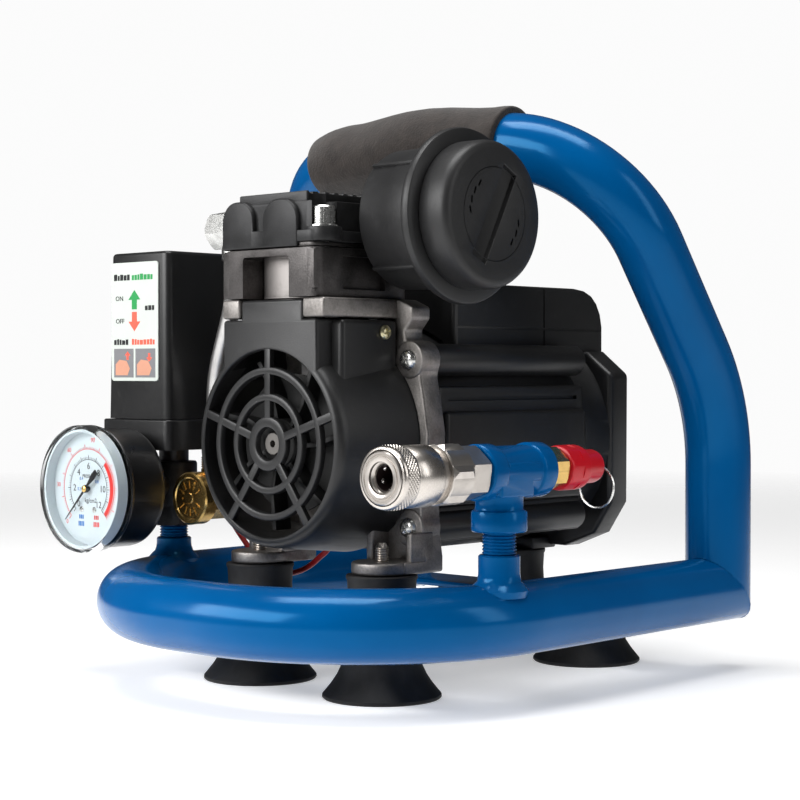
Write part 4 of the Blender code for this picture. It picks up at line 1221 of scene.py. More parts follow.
@dataclass
class PumpTop:
    """Cylinder in its bracket, valve plate, finned head and the four socket screws."""

    bench: Bench
    bore: float = 21.0
    block: tuple[float, float] = (169.6, 190.4)
    plate: tuple[float, float] = (190.7, 192.7)
    head: tuple[float, float] = (193.0, 212.6)
    screw_reach: tuple[float, float] = (24.5, 19.5)

    def _corners(self) -> list[tuple[float, float]]:
        """Screw places round the cylinder."""
        return [(CYLINDER[0] + sx * self.screw_reach[0], CYLINDER[1] + sy * self.screw_reach[1])
                for sx in (-1, 1) for sy in (-1, 1)]

    def _footprint(self, inset: float = 0.0) -> Solid:
        """Block with rounded upright corners, one millimetre tall at zero."""
        x, y = CYLINDER
        shape = Solid.slab((x - 29 + inset, x + 29 - inset), (y - 28.8 + inset, y + 28.8 - inset), (0, 1))
        sharp = [e for e in shape.bm.edges if abs(e.verts[0].co.z - e.verts[1].co.z) > 0.5]
        bmesh.ops.bevel(shape.bm, geom=sharp, offset=5.0, offset_type="OFFSET", affect="EDGES", segments=6,
                        profile=0.5, material=-1)
        return shape

    def _raised(self, low: float, high: float, inset: float = 0.0) -> Solid:
        """The footprint between two heights."""
        return self._footprint(inset).shaped(lambda p: Vector((p.x, p.y, low + (high - low) * p.z))).eased(0.5, 2, 50)

    def _arch(self, x: Point, top: float, low: float, radius: float, y: Point) -> Solid:
        """An upright plate with a round-cornered top.

        Args:
            x: Its two sides.
            top: Height of its crown.
            low: Height of its foot.
            radius: Radius of its upper corners.
            y: Its front and back.

        Returns:
            The plate.
        """
        outline = [(x[0], low), (x[1], low)]
        for i in range(9):
            a = math.pi / 2 * i / 8
            outline.append((x[1] - radius + radius * math.cos(a), top - radius + radius * math.sin(a)))
        for i in range(9):
            a = math.pi / 2 * (1 + i / 8)
            outline.append((x[0] + radius + radius * math.cos(a), top - radius + radius * math.sin(a)))
        return Solid.plate(outline, *y, axis="Y")

    def _bracket(self) -> Solid:
        """Cast frame round the cylinder with a window in front and behind."""
        x, y = CYLINDER
        low, high = self.block
        window = self._arch((x - 15.5, x + 13.2), 187.2, 166, 1.8, (30, 62))
        back = self._arch((x - 15.5, x + 15.5), 187.2, 166, 1.8, (80, 110))
        body = self._raised(low, high)
        frame = [Solid.slab((x - 28.6, x - 14.5), (39.8, 46), (low, high - 0.4)).eased(0.9, 3),
                 Solid.slab((x + 12.4, x + 28.4), (39.8, 46), (low + 3.2, high - 0.4)).eased(0.9, 3)]
        relief = [Solid.slab((x + 26.2, x + 34), (56, 82), (173, 187)), Solid.slab((x - 34, x - 26.2), (56, 82), (173, 187))]
        return body.joined(*frame).cut(Solid.bar(22.9, 150, 200, "Z", (x, y, 0), 72), window, back, *relief)

    def _head(self) -> Solid:
        """Head with two round-topped chambers in front, fins on top and four screw pockets."""
        x, y = CYLINDER
        low, high = self.head
        body = self._raised(low - 0.2, low + 4.6, 0.5)
        core = self._raised(low + 2, high - 2.6, 2.4)
        left = self._arch((x - 29.0, x - 9.4), 211.4, low - 2.2, 8.6, (39.75, 60)).eased(0.9, 3, 50)
        right = self._arch((x - 3.4, x + 17.8), 211.4, low - 2.2, 9.4, (39.75, 60)).eased(0.9, 3, 50)
        face = Solid.slab((x - 20, x + 10), (39.8, 60), (low - 2.1, 198.4)).eased(0.7, 2)
        backs = [self._arch((x - 28.0, x - 9.8), 210.8, low, 8.0, (58, 93)), self._arch((x - 3.0, x + 17.2), 210.8, low, 8.6, (58, 93))]
        step = Solid.slab((x - 28.9, x - 23.0), (40.1, 52), (low - 1.0, low + 8.0)).eased(0.8, 3)
        rows = [Solid.slab((x - 27.5, x + 20.0), (43.5 + 5.5 * i, 46.2 + 5.5 * i), (high - 6, 214.3)).eased(0.5)
                for i in range(9)]
        ribs = [Solid.slab((cx - 1.3, cx + 1.3), (44.5, 93), (high - 6, 213.6)).eased(0.4) for cx in (x - 8.5, x + 6.0, x + 19.5)]
        cuts = [Solid.bar(6.3, low + 5.7, high + 8, "Z", (cx, cy, 0), 40) for cx, cy in self._corners()]
        cuts += [Solid.bar(2.7, low - 5, high + 8, "Z", (cx, cy, 0), 20) for cx, cy in self._corners()]
        cuts += [Solid.bar(4.1, 12, 40, "X", (0, 77, 203.5), 24), Solid.bar(4.1, -40, -12, "X", (0, 62, 202), 24)]
        bosses = [Solid.bar(7.9, low, low + 6.0, "Z", (cx, cy, 0), 36).eased(0.5, 2, 50) for cx, cy in self._corners()]
        return body.joined(core, left, right, face, step, *backs, *bosses, *rows, *ribs).cut(*cuts)

    def _screw(self, place: Point) -> Solid:
        """Socket cap screw with a knurled head and a flanged washer."""
        head = Solid.turned([(0, 163), (2.3, 163), (2.3, 198.8), (6.1, 198.8), (6.2, 199.2), (6.0, 199.8), (5.0, 200.1),
                             (5.0, 207.2), (4.5, 207.8), (0, 207.8)], "Z", (*place, 0), 72)
        flutes = [Solid.bar(0.2, 200.6, 206.8, "Z", (place[0] + x, place[1] + y, 0), 6) for x, y in ring_points(5.05, 24)]
        return head.cut(Solid.bar(2.6, 204.4, 209, "Z", (*place, 0), 6, 0.4), *flutes)

    def build(self) -> None:
        """Make the top end of the pump."""
        x, y = CYLINDER
        low, high = self.block
        liner = Solid.turned([(21.0, low), (22.6, low), (22.6, low + 0.8), (22.4, low + 1.0), (22.4, high - 1.0),
                              (22.6, high - 0.8), (22.6, high), (21.0, high)], "Z", (x, y, 0), 96)
        self.bench.fit("cylinder_liner", liner, Finish.HONED, stands_for=["cylinder"])
        self.bench.fit("cylinder_frame", self._bracket(), Finish.BRACKET, stands_for=["cylinder_bracket"])
        plate = self._raised(*self.plate, 1.6).cut(
            *[Solid.bar(2.7, 180, 200, "Z", (cx, cy, 0), 20) for cx, cy in self._corners()],
            Solid.bar(3, 180, 200, "Z", (x - 8, y, 0), 20), Solid.bar(3, 180, 200, "Z", (x + 8, y, 0), 20))
        self.bench.fit("valve_plate_ground", plate, Finish.BRACKET, stands_for=["valve_plate"])
        self.bench.fit("head_casting", self._head(), Finish.HEAD, stands_for=["cylinder_head"], crease=40)
        for i, corner in enumerate(self._corners()):
            self.bench.fit(f"socket_screw_{i + 1}", self._screw(corner), Finish.ZINC,
                           stands_for=[f"head_screw_{i + 1}"])
        LOG.info("cylinder, bracket, head and screws")


@dataclass
class Fan:
    """Cooling fan behind the grille, with its hub, web and blades."""

    bench: Bench
    blades: int = 7
    tip: float = 37.5

    def build(self) -> None:
        """Make the fan wheel on the shaft."""
        hub = Solid.turned([(5.3, 47.2), (9.8, 47.2), (10.6, 48.0), (11.2, 57), (5.3, 57)], "Y", SHAFT, 64)
        parts = []
        for i in range(self.blades):
            a = i * 2 * math.pi / self.blades
            outline = [(10.2 * math.cos(a - 0.16), 10.2 * math.sin(a - 0.16)),
                       (22 * math.cos(a - 0.05), 22 * math.sin(a - 0.05)),
                       (self.tip * math.cos(a + 0.10), self.tip * math.sin(a + 0.10)),
                       (self.tip * math.cos(a + 0.17), self.tip * math.sin(a + 0.17)),
                       (22 * math.cos(a + 0.05), 22 * math.sin(a + 0.05)),
                       (10.2 * math.cos(a + 0.06), 10.2 * math.sin(a + 0.06))]
            parts.append(Solid.plate(outline, 47.6, 56.8, "Y", SHAFT).eased(0.5, 2, 40))
        web = Solid.turned([(10, 55.4), (30, 55.6), (30, 56.8), (10, 56.8)], "Y", SHAFT, 64)
        # The fan's near-black finish carries painted shade for the inside of the shroud.
        self.bench.fit("fan_wheel", hub.with_loose(web, *parts), Finish.FAN, body="shaft", stands_for=["cooling_fan"])
        LOG.info("fan wheel")


@dataclass
class Motor:
    """Ribbed motor barrel, eight-sided rear cover, top box and the flange screws."""

    bench: Bench
    front: float = 96.0
    seam: float = 200.0
    rear: float = 228.0
    radius: float = 52.0

    def _barrel(self) -> Solid:
        """Barrel with stepped panels, screw ridges and cooling grooves."""
        body = Solid.turned([(0, self.front), (44.5, self.front), (self.radius - 3.4, self.front + 4),
                             (self.radius - 1.4, 124), (self.radius - 1.4, self.seam - 8), (self.radius - 4, self.seam),
                             (0, self.seam)], "Y", SHAFT, 96)
        extra = []
        for x, z in EARS:
            extra.append(Solid.bar(7.0, self.front, self.seam - 1, "Y", (x * 0.985, 0, z), 36).eased(0.8, 2, 60))
            sx = 1 if x > 0 else -1
            if z > SHAFT_Z:
                extra.append(Solid.slab(sorted((sx * 22, sx * 44)), (self.front, self.seam - 1), (138, 149.2)).eased(1.0, 3))
            else:
                extra.append(Solid.slab(sorted((sx * 22, sx * 45)), (self.front, self.seam - 1), (64.5, 80)).eased(1.0, 3))
        for sx in (-1, 1):
            extra.append(Solid.slab(sorted((sx * 30, sx * 48.6)), (self.front, self.seam - 3), (80, 132)).eased(1.4, 3))
            extra.append(Solid.slab(sorted((sx * 34, sx * 51.4)), (98, self.seam - 4), (90, 121)).eased(2.0, 4))
        body = body.joined(*extra)
        grooves = []
        for sx in (-1, 1):
            for z in (86.5, 125.5, 134.5):
                grooves.append(Solid.slab(sorted((sx * 46.8, sx * 60)), (self.front + 6, self.seam - 8), (z, z + 1.8)))
        for i in range(5):
            x = -18 + 9 * i
            grooves.append(Solid.slab((x - 1.2, x + 1.2), (self.front + 8, self.seam - 8), (50, 58.6)))
        body = body.cut(Solid.bar(44.0, self.front - 3, self.seam + 3, "Y", SHAFT, 72), *grooves)
        return body

    def _rear_cover(self) -> Solid:
        """Eight-sided end plate with a dished, vented back and the foot lug below."""
        edge = both_sides([(0, 54), (24, 54), (42, 61), (52, 76), (52.4, 137), (38, 148), (0, 148)])
        plate = Solid.plate(edge, 213.6, self.rear, "Y").eased(2.2, 4, 40)
        drum = Solid.turned([(0, self.seam + 0.3), (47.6, self.seam + 0.3), (48.6, 204), (49.2, 207.6),
                             (51.4, 213.8), (51.4, 215), (0, 215)], "Y", SHAFT, 72)
        lug = Solid.slab((-15, 15), (201, 219), (52.5, 58)).eased(0.8)
        body = plate.joined(drum.kept(Solid.plate(edge, 190, 230, "Y")), lug)
        cuts = [Solid.turned([(13.3, self.seam - 6), (46.0, self.seam - 6), (46.0, 212), (17, 222), (17, 206),
                              (13.3, 206)], "Y", SHAFT, 64),
                Solid.bar(13.3, self.seam - 6, 222.6, "Y", SHAFT, 40),
                Solid.bar(3.5, 45, 60.5, "Z", (0, 205, 0), 24)]
        for row in range(5):
            z = 84 + row * 11.7
            wide = 30 if row in (1, 2, 3) else 22
            cuts.append(Solid.slab((-wide, wide), (self.rear - 2.2, self.rear + 2), (z - 1.7, z + 1.7)).eased(1.2, 3, 40))
        return body.cut(*cuts)

    def _box(self) -> Solid:
        """Top box with a rounded back corner, a lid seam and a groove along its side."""
        side = [(121, 130), (230, 130), (230, 160), (228.6, 166.2), (225.6, 171.4), (221.6, 175.0), (216, 177.2),
                (209, 178), (121, 178)]
        body = Solid.plate(side, -35.5, 35.5, "X").eased(2.2, 4, 30)
        cuts = [Solid.bar(self.radius + 0.6, 90, 240, "Y", SHAFT, 96), Solid.slab((-50, 50), (198, 240), (100, 147.6)),
                Solid.slab((-33, 33), (123.5, 225), (110, 175)).eased(1.0)]
        for low, high in ((34.9, 40), (-40, -34.9)):
            cuts.append(Solid.slab((low, high), (183.4, 184.6), (140, 180)))
            cuts.append(Solid.slab((low, high), (121, 229), (157.6, 158.8)))
        cuts.append(Solid.slab((-40, 40), (183.4, 184.6), (177.4, 180)))
        return body.cut(*cuts)

    def _screw(self, place: Point) -> Solid:
        """Pan-head cross screw through the flange ear."""
        x, z = place
        head = Solid.turned([(0, 80.6), (1.8, 80.7), (3.4, 81.3), (4.3, 82.4), (4.5, 83.7), (2.3, 83.7), (2.3, 106),
                             (0, 106)], "Y", (x, 0, z), 40)
        return head.cut(*crossed_recess(2.5, -1.4, "Y", (x, 80.6, z), 0.6))

    def build(self) -> None:
        """Make the motor's outside."""
        self.bench.fit("motor_barrel", self._barrel(), Finish.MOTOR, stands_for=["motor_housing"], crease=38)
        self.bench.fit("motor_end_plate", self._rear_cover(), Finish.MOTOR, stands_for=["motor_rear_cover"], crease=38)
        self.bench.fit("top_box", self._box(), Finish.MOTOR, stands_for=["capacitor_box"])
        for i, ear in enumerate(EARS):
            self.bench.fit(f"flange_screw_{i + 1}", self._screw(ear), Finish.ZINC, stands_for=[f"motor_screw_{i + 1}"])
        LOG.info("motor barrel, end plate, top box and screws")


@dataclass
class IntakeFilter:
    """Round intake filter on the right of the head, with a lid turned by a coin."""

    bench: Bench
    axis: tuple[float, float, float] = (0.0, 90.0, 203.5)
    slot_turn: float = 62.0

    def _body(self) -> Solid:
        """Stepped drum with its rounded flange and the spigot into the head."""
        drum = Solid.turned([(0, 35), (28.6, 35), (29.6, 35.4), (30.0, 36.4), (30.1, 49.4), (30.5, 50.0),
                             (30.5, 64.4), (31.4, 64.9), (35.6, 65.2), (36.7, 65.8), (37.2, 66.9), (37.2, 68.3),
                             (36.7, 69.5), (35.8, 70), (28.2, 70), (28.2, 38), (0, 38)], "X", self.axis, 112)
        spigot = Solid.turned([(3.5, 30.3), (6.4, 30.3), (6.4, 36), (3.5, 36)], "X", (0, 77, 203.5), 40)
        ribs = [Solid.slab((36, 64), (-0.8, 0.8), (29.2, 31.4)).eased(0.4).swung(a, "X").moved(self.axis)
                for a in [math.pi * (0.25 + 0.5 * i) for i in range(4)]]
        return drum.cut(Solid.bar(3.5, 30, 40, "X", (0, 77, 203.5), 24)).with_loose(spigot, *ribs)

    def _lid(self) -> Solid:
        """Drum lid with a rounded rim, a coin slot and faint raised marks."""
        lid = Solid.turned([(0, 80.0), (25, 80.0), (25, 62), (27.8, 62), (27.8, 70.3), (30.6, 70.3), (31.0, 70.9),
                            (31.0, 80.8), (30.7, 82.5), (29.9, 83.9), (28.6, 84.7), (27.0, 85), (0, 85)],
                           "X", self.axis, 112)
        turn = math.radians(self.slot_turn)
        along, side = Vector((math.cos(turn), math.sin(turn))), Vector((-math.sin(turn), math.cos(turn)))

        def coin(length: float, width: float, low: float, high: float) -> Solid:
            """A straight-sided slot across the lid."""
            outline = [tuple(along * (a * length) + side * (b * width)) for a, b in ((-1, -1), (1, -1), (1, 1), (-1, 1))]
            return Solid.plate(outline, low, high, "X", self.axis)

        lid.cut(coin(21.5, 4.6, 82.4, 87)).eased(0.35, 2, 50, lambda p: p.x > 82 and (p - Vector((p.x, *self.axis[1:]))).length < 24)
        arc = Solid.turned([(19.4, 84.9), (19.4, 85.0), (19.7, 85.0), (19.7, 84.9)], "X", self.axis, 96)
        marks = []
        for reach, spread in ((15.5, (-0.42, -0.14, 0.14, 0.42)), (-15.5, (-0.3, 0.0, 0.3))):
            for s in spread:
                a = turn + math.pi / 2 + s
                place = (0, self.axis[1] + reach * math.cos(a), self.axis[2] + reach * math.sin(a))
                marks.append(Solid.slab((84.85, 85.0), (-0.45, 0.45), (-1.5, 1.5)).swung(a + 0.3, "X").moved(place))
        return lid.with_loose(arc, *marks)

    def build(self) -> None:
        """Make the filter body and lid."""
        self.bench.fit("filter_drum", self._body(), Finish.FILTER, stands_for=["filter_body"])
        self.bench.fit("filter_twist_lid", self._lid(), Finish.FILTER, body="filter_cap", stands_for=["filter_lid"])
        LOG.info("intake filter and lid")


def hexagon(across: float, low: float, high: float, axis: str, centre: Point, turn: float = 0.0,
            chamfer: float = 1.0) -> Solid:
    """A hexagon with turned chamfers at both ends.

    Args:
        across: Corner radius.
        low: Start along the axis.
        high: End along the axis.
        axis: Direction of the axis.
        centre: Where the axis stands.
        turn: Turn of the hexagon in radians.
        chamfer: Depth of the chamfers.

    Returns:
        The hexagon.
    """
    flat = across * 0.9
    limit = Solid.turned([(0, low), (flat, low), (across + 0.2, low + chamfer), (across + 0.2, high - chamfer),
                          (flat, high), (0, high)], axis, centre, 72)
    return Solid.bar(across, low, high, axis, centre, 6, turn).kept(limit)


@dataclass
class Delivery:
    """Exhaust elbow, delivery pipe, check valve, manifold and the motor lead."""

    bench: Bench
    valve_z: float = 80.5

    def _elbow(self) -> Solid:
        """Plated elbow screwed into the head."""
        at = (0, 62, 202)
        nose = Solid.turned([(0, -42), (6.5, -42), (6.5, -38), (6.0, -37.4)] + thread(6.5, -37, -28.5) + [(0, -28.4)],
                            "X", at, 40)
        spout = Solid.turned([(0, 188), (4.7, 188), (5.2, 188.6), (5.2, 194.5), (0, 194.5)], "Z", (-45.5, 62, 0), 40)
        body = hexagon(9.2, -55.5, -39, "X", at, 0.2, 1.2).joined(nose, spout)
        return body.cut(Solid.bar(2.6, 180, 196, "Z", (-45.5, 62, 0), 24))

    def _check_valve(self) -> Solid:
        """Brass body with a round cap and its two ports."""
        z, x = self.valve_z, LEFT_STACK[0]
        cap = Solid.turned([(0, 54.4), (9.2, 54.4), (9.7, 54.0), (11.3, 54.0), (12.0, 54.7), (12.0, 60.8), (11.4, 61.6),
                            (0, 61.6)], "Y", (-67, 0, z), 72)
        neck = Solid.turned([(0, z), (6.5, z), (6.5, 93.4), (5.9, 94)] + thread(6.5, 94.1, 99.2, 1.0, 0.5)
                            + [(0, 99.3)], "Z", (-67, 70, 0), 40)
        port = Solid.turned([(0, x + 11.4)] + thread(6.5, x + 11.5, -80, 1.337, 0.7) + [(6.6, -79.5), (6.6, -70), (0, -70)],
                            "X", (0, LEFT_STACK[1] - 1, z), 40)
        body = hexagon(10.2, 60.9, 79, "Y", (-67, 0, z), math.pi / 6, 1.0).joined(cap, neck, port)
        body.cut(Solid.bar(2.8, z, 105, "Z", (-67, 70, 0), 24))
        marks = [Solid.slab((-1.7, 1.7), (54.05, 54.6), (-0.4, 0.4)).swung(a, "Y").moved(
            (-67 + 6.3 * math.cos(a), 0, z - 6.3 * math.sin(a))) for a in [0.5 + 0.52 * i for i in range(11)]]
        hub = Solid.turned([(0, 54.05), (2.2, 54.05), (2.5, 54.4), (0, 54.4)], "Y", (-67, 0, z), 32)
        return body.with_loose(hub, *marks)

    def _manifold(self) -> Solid:
        """Dark body between socket, switch, gauge and check valve."""
        x, y = LEFT_STACK
        body = hexagon(12.0, 66, 76, "Z", (x, y, 0), math.pi / 6)
        stem = Solid.turned([(0, 74), (10.6, 75), (11.0, 76.5), (11.0, 95), (10.4, 96), (7.0, 96), (7.0, 101.7), (0, 101.7)],
                            "Z", (x, y, 0), 56)
        boss = Solid.turned([(0, y - 14), (6.6, y - 14), (7.0, y - 13.4), (7.0, y), (0, y)], "Y", (x, 0, 85), 40)
        return body.joined(stem, boss).cut(Solid.bar(7.0, 60, 73, "Z", (x, y, 0), 40),
                                           Solid.bar(3.0, x, x + 15, "X", (0, y - 1, self.valve_z), 24))

    def _lead(self) -> None:
        """The red lead from the switch, under the fan cover, to the motor."""
        knots = [(-84.0, 86, 101.6), (-83.8, 86.8, 92), (-82.0, 88, 80), (-77.5, 89, 69), (-70, 90, 59.5),
                 (-61, 90.5, 51.5), (-51, 90.5, 46.8), (-42, 90.5, 45.4), (-33.5, 90.6, 46.8),
                 (-26, 91, 50), (-20, 91.4, 54.2), (-15.5, 91.7, 57.6), (-13, 92, 60.6)]
        piece = self.bench.fit("red_motor_lead", Solid.strand(knots, 1.3, 16, 6), Finish.RED_WIRE,
                               stands_for=["motor_lead"])
        path = [self.bench.metres(k) for k in knots]

    def build(self) -> None:
        """Make the delivery side."""
        self.bench.fit("plated_elbow", self._elbow(), Finish.ZINC, stands_for=["exhaust_elbow"])
        pipe = [(-45.5, 62, 187.6), (-45.5, 62, 176), (-47, 62.5, 168), (-51.5, 64, 159), (-57.5, 66, 149),
                (-63, 68, 139), (-66.2, 69.4, 130), (-67, 70, 120), (-67, 70, 99.6)]
        self.bench.fit("delivery_tube", Solid.strand(pipe, 4.0, 32, 6), Finish.SATIN, stands_for=["discharge_pipe"])
        self.bench.fit("brass_check_valve", self._check_valve(), Finish.BRASS, stands_for=["check_valve"])
        self.bench.fit("dark_manifold", self._manifold(), Finish.MANIFOLD, stands_for=["manifold"])
        self._lead()
        LOG.info("delivery elbow, pipe, check valve, manifold and lead")


@dataclass
class Gauge:
    """Pressure gauge with a printed double scale, a needle and a clear push-on lens."""

    bench: Bench
    centre: tuple[float, float, float] = (-100.0, 0.0, 85.0)
    face: float = 22.9

    def _angle(self, value: float) -> float:
        """Angle of a reading on the inner scale, in radians."""
        return math.radians(225.0 - 270.0 * value / 12.0)

    def _tick(self, angle: float, inner: float, outer: float, width: float) -> Solid:
        """One printed line of a scale."""
        along = Vector((math.cos(angle), math.sin(angle)))
        side = Vector((-along.y, along.x))
        outline = [tuple(along * r + side * w) for r, w in
                   ((inner, -width / 2), (outer, -width / 2), (outer, width / 2), (inner, width / 2))]
        return Solid.plate(outline, self.face - 0.08, self.face + 0.05, "Y", self.centre)

    def _arc(self, inner: float, outer: float, start: float, end: float, lift: float = 0.07) -> Solid:
        """A printed arc between two angles, in radians."""
        steps = max(8, int(abs(end - start) * 24))
        run = [start + (end - start) * i / steps for i in range(steps + 1)]
        outline = [(outer * math.cos(a), outer * math.sin(a)) for a in run]
        outline += [(inner * math.cos(a), inner * math.sin(a)) for a in reversed(run)]
        return Solid.plate(outline, self.face - lift, self.face + 0.05, "Y", self.centre)

    def _figures(self, values: Iterable[int], reach: float, height: float, top: float) -> list[Solid]:
        """Upright figures round a scale.

        Args:
            values: Figures to print.
            reach: Distance from the middle.
            height: Height of the figures.
            top: Greatest value of the scale.

        Returns:
            The figures.
        """
        shapes = []
        for value in values:
            a = math.radians(225.0 - 270.0 * value / top)
            x, _, z = self.centre
            shapes.append(Solid.lettering(str(value), height, 0.1, "Y",
                                          (x + reach * math.cos(a), self.face - 0.02, z + reach * math.sin(a))))
        return shapes

    def build(self) -> None:
        """Make the gauge."""
        bench, at = self.bench, self.centre
        case = Solid.turned([(0, 37.5), (25.2, 37.5), (25.2, 24.7), (28.2, 24.7), (28.6, 25.4), (28.2, 26.4), (27.4, 27.2),
                             (27.4, 42.6), (27.1, 44.4), (26.2, 45.8), (24.6, 46.5), (9.4, 46.5), (6.2, 47),
                             (6.2, 58.7), (0, 58.7)], "Y", at, 96)
        case.with_loose(hexagon(8.6, 46, 53.5, "Y", at))
        bench.fit("gauge_housing", case, Finish.CASE, stands_for=["gauge_case"])
        rim = Solid.turned([(25.6, self.face + 0.2), (25.4, 20.8), (25.9, 18.2), (26.9, 18.1), (26.9, self.face + 0.5),
                            (25.6, self.face + 0.5)], "Y", at, 96)
        bench.fit("gauge_inner_rim", rim, Finish.DIAL, slot="gauge_dial")
        dial = Solid.turned([(1.1, self.face), (25.5, self.face), (25.5, self.face + 0.6), (1.1, self.face + 0.6)],
                            "Y", at, 96)
        bench.fit("dial_face", dial, Finish.DIAL, stands_for=["gauge_dial"])
        black = [self._tick(self._angle(i / 5), 13.3, 15.2 if i % 5 == 0 else 14.4, 0.30 if i % 5 == 0 else 0.16)
                 for i in range(61)]
        black += [self._arc(13.1, 13.35, self._angle(0), self._angle(12))]
        black += self._figures(range(0, 13, 2), 10.2, 3.1, 12)
        black += [Solid.lettering("PRESSURE", 1.5, 0.1, "Y", (at[0], self.face - 0.02, at[2] + 5.6)),
                  Solid.lettering("kg/cm2", 2.2, 0.1, "Y", (at[0] + 1.5, self.face - 0.02, at[2] - 5.4))]
        bench.fit("dial_inner_scale", Solid().with_loose(*black), Finish.INK_BLACK, slot="gauge_dial")
        red = [self._tick(self._angle(i * 12 / 85), 18.1, 20.2 if i % 10 == 0 else 19.1, 0.3 if i % 10 == 0 else 0.16)
               for i in range(86)]
        red += [self._arc(17.9, 18.15, self._angle(0), self._angle(12))]
        red += self._figures(range(0, 171, 30), 22.2, 2.1, 170)
        red += [self._arc(15.5, 17.6, self._angle(8), self._angle(12))]
        bench.fit("dial_outer_scale", Solid().with_loose(*red), Finish.INK_RED, slot="gauge_dial")
        skin = (self.face - 0.07, self.face + 0.05)
        blue = [Solid.slab((at[0] - 7.4 + 1.1 * i, at[0] - 6.7 + 1.1 * i), skin, (at[2] - 17.2 + 0.0, at[2] - 15.0)) for i in range(4)]
        blue += [Solid.slab((at[0] - 6.9 + 1.2 * i, at[0] - 6.1 + 1.2 * i), skin, (at[2] - 13.9, at[2] - 12.0)) for i in range(3)]
        blue += [Solid.lettering(text, 1.5, 0.1, "Y", (at[0] + 6.9 * math.cos(a), self.face - 0.02, at[2] + 6.9 * math.sin(a)))
                 for text, a in (("0.2", 3.2), ("0.4", 2.45), ("0.6", 1.57 - 0.45), ("0.8", 0.5))]
        bench.fit("dial_blue_marks", Solid().with_loose(*blue), Finish.INK_BLUE, slot="gauge_dial")
        words = [Solid.slab((at[0] + 3.6 + 1.1 * i, at[0] + 4.3 + 1.1 * i), skin, (at[2] - 17.2, at[2] - 15.0)) for i in range(4)]
        words += [Solid.slab((at[0] + 4.0 + 1.2 * i, at[0] + 4.8 + 1.2 * i), skin, (at[2] - 13.9, at[2] - 12.0)) for i in range(3)]
        bench.fit("dial_red_marks", Solid().with_loose(*words), Finish.INK_RED, slot="gauge_dial")
        screws = []
        for sx in (-1, 1):
            screws.append(Solid.turned([(0, 22.2), (1.0, 22.3), (1.45, 22.7), (1.45, 23.1), (0, 23.1)], "Y",
                                       (at[0] + sx * 4.6 - 0.4, 0, at[2] - 9.6), 24))
        bench.fit("dial_screws", Solid().with_loose(*screws), Finish.ZINC, slot="gauge_dial")
        a = self._angle(0)
        tip, tail = Vector((math.cos(a), math.sin(a))), Vector((-math.sin(a), math.cos(a)))
        outline = [tuple(tip * r + tail * w) for r, w in
                   ((20.6, 0.1), (20.6, -0.1), (3, -0.5), (-3, -0.6), (-8.5, -1.5), (-11.5, -1.1), (-11.5, 1.1), (-8.5, 1.5),
                    (-3, 0.6), (3, 0.5))]
        needle = Solid.plate(outline, 20.6, 21.0, "Y", at)
        needle.with_loose(Solid.turned([(0, 20.2), (1.4, 20.2), (1.8, 20.6), (1.8, 21.8), (0, 21.8)], "Y", at, 40),
                          Solid.bar(0.8, 21.5, 33, "Y", at, 16))
        bench.fit("needle", needle, Finish.NEEDLE, body="needle", stands_for=["gauge_needle"])
        cap = Solid.turned([(0, 19.5), (1.0, 19.6), (1.5, 20.0), (1.5, 20.5), (0, 20.5)], "Y", at, 32)
        bench.fit("needle_hub", cap, Finish.BRASS, body="needle", slot="gauge_needle")
        lens = Solid.turned([(0, 16), (25.4, 16), (27.4, 16.1), (28.5, 16.5), (29, 17.4), (29, 24.0), (28.7, 24.5),
                             (27.3, 24.5), (27.3, 17.6), (0, 17.6)], "Y", at, 112)
        bench.fit("lens", lens, Finish.LENS, stands_for=["gauge_lens"])
        LOG.info("pressure gauge")


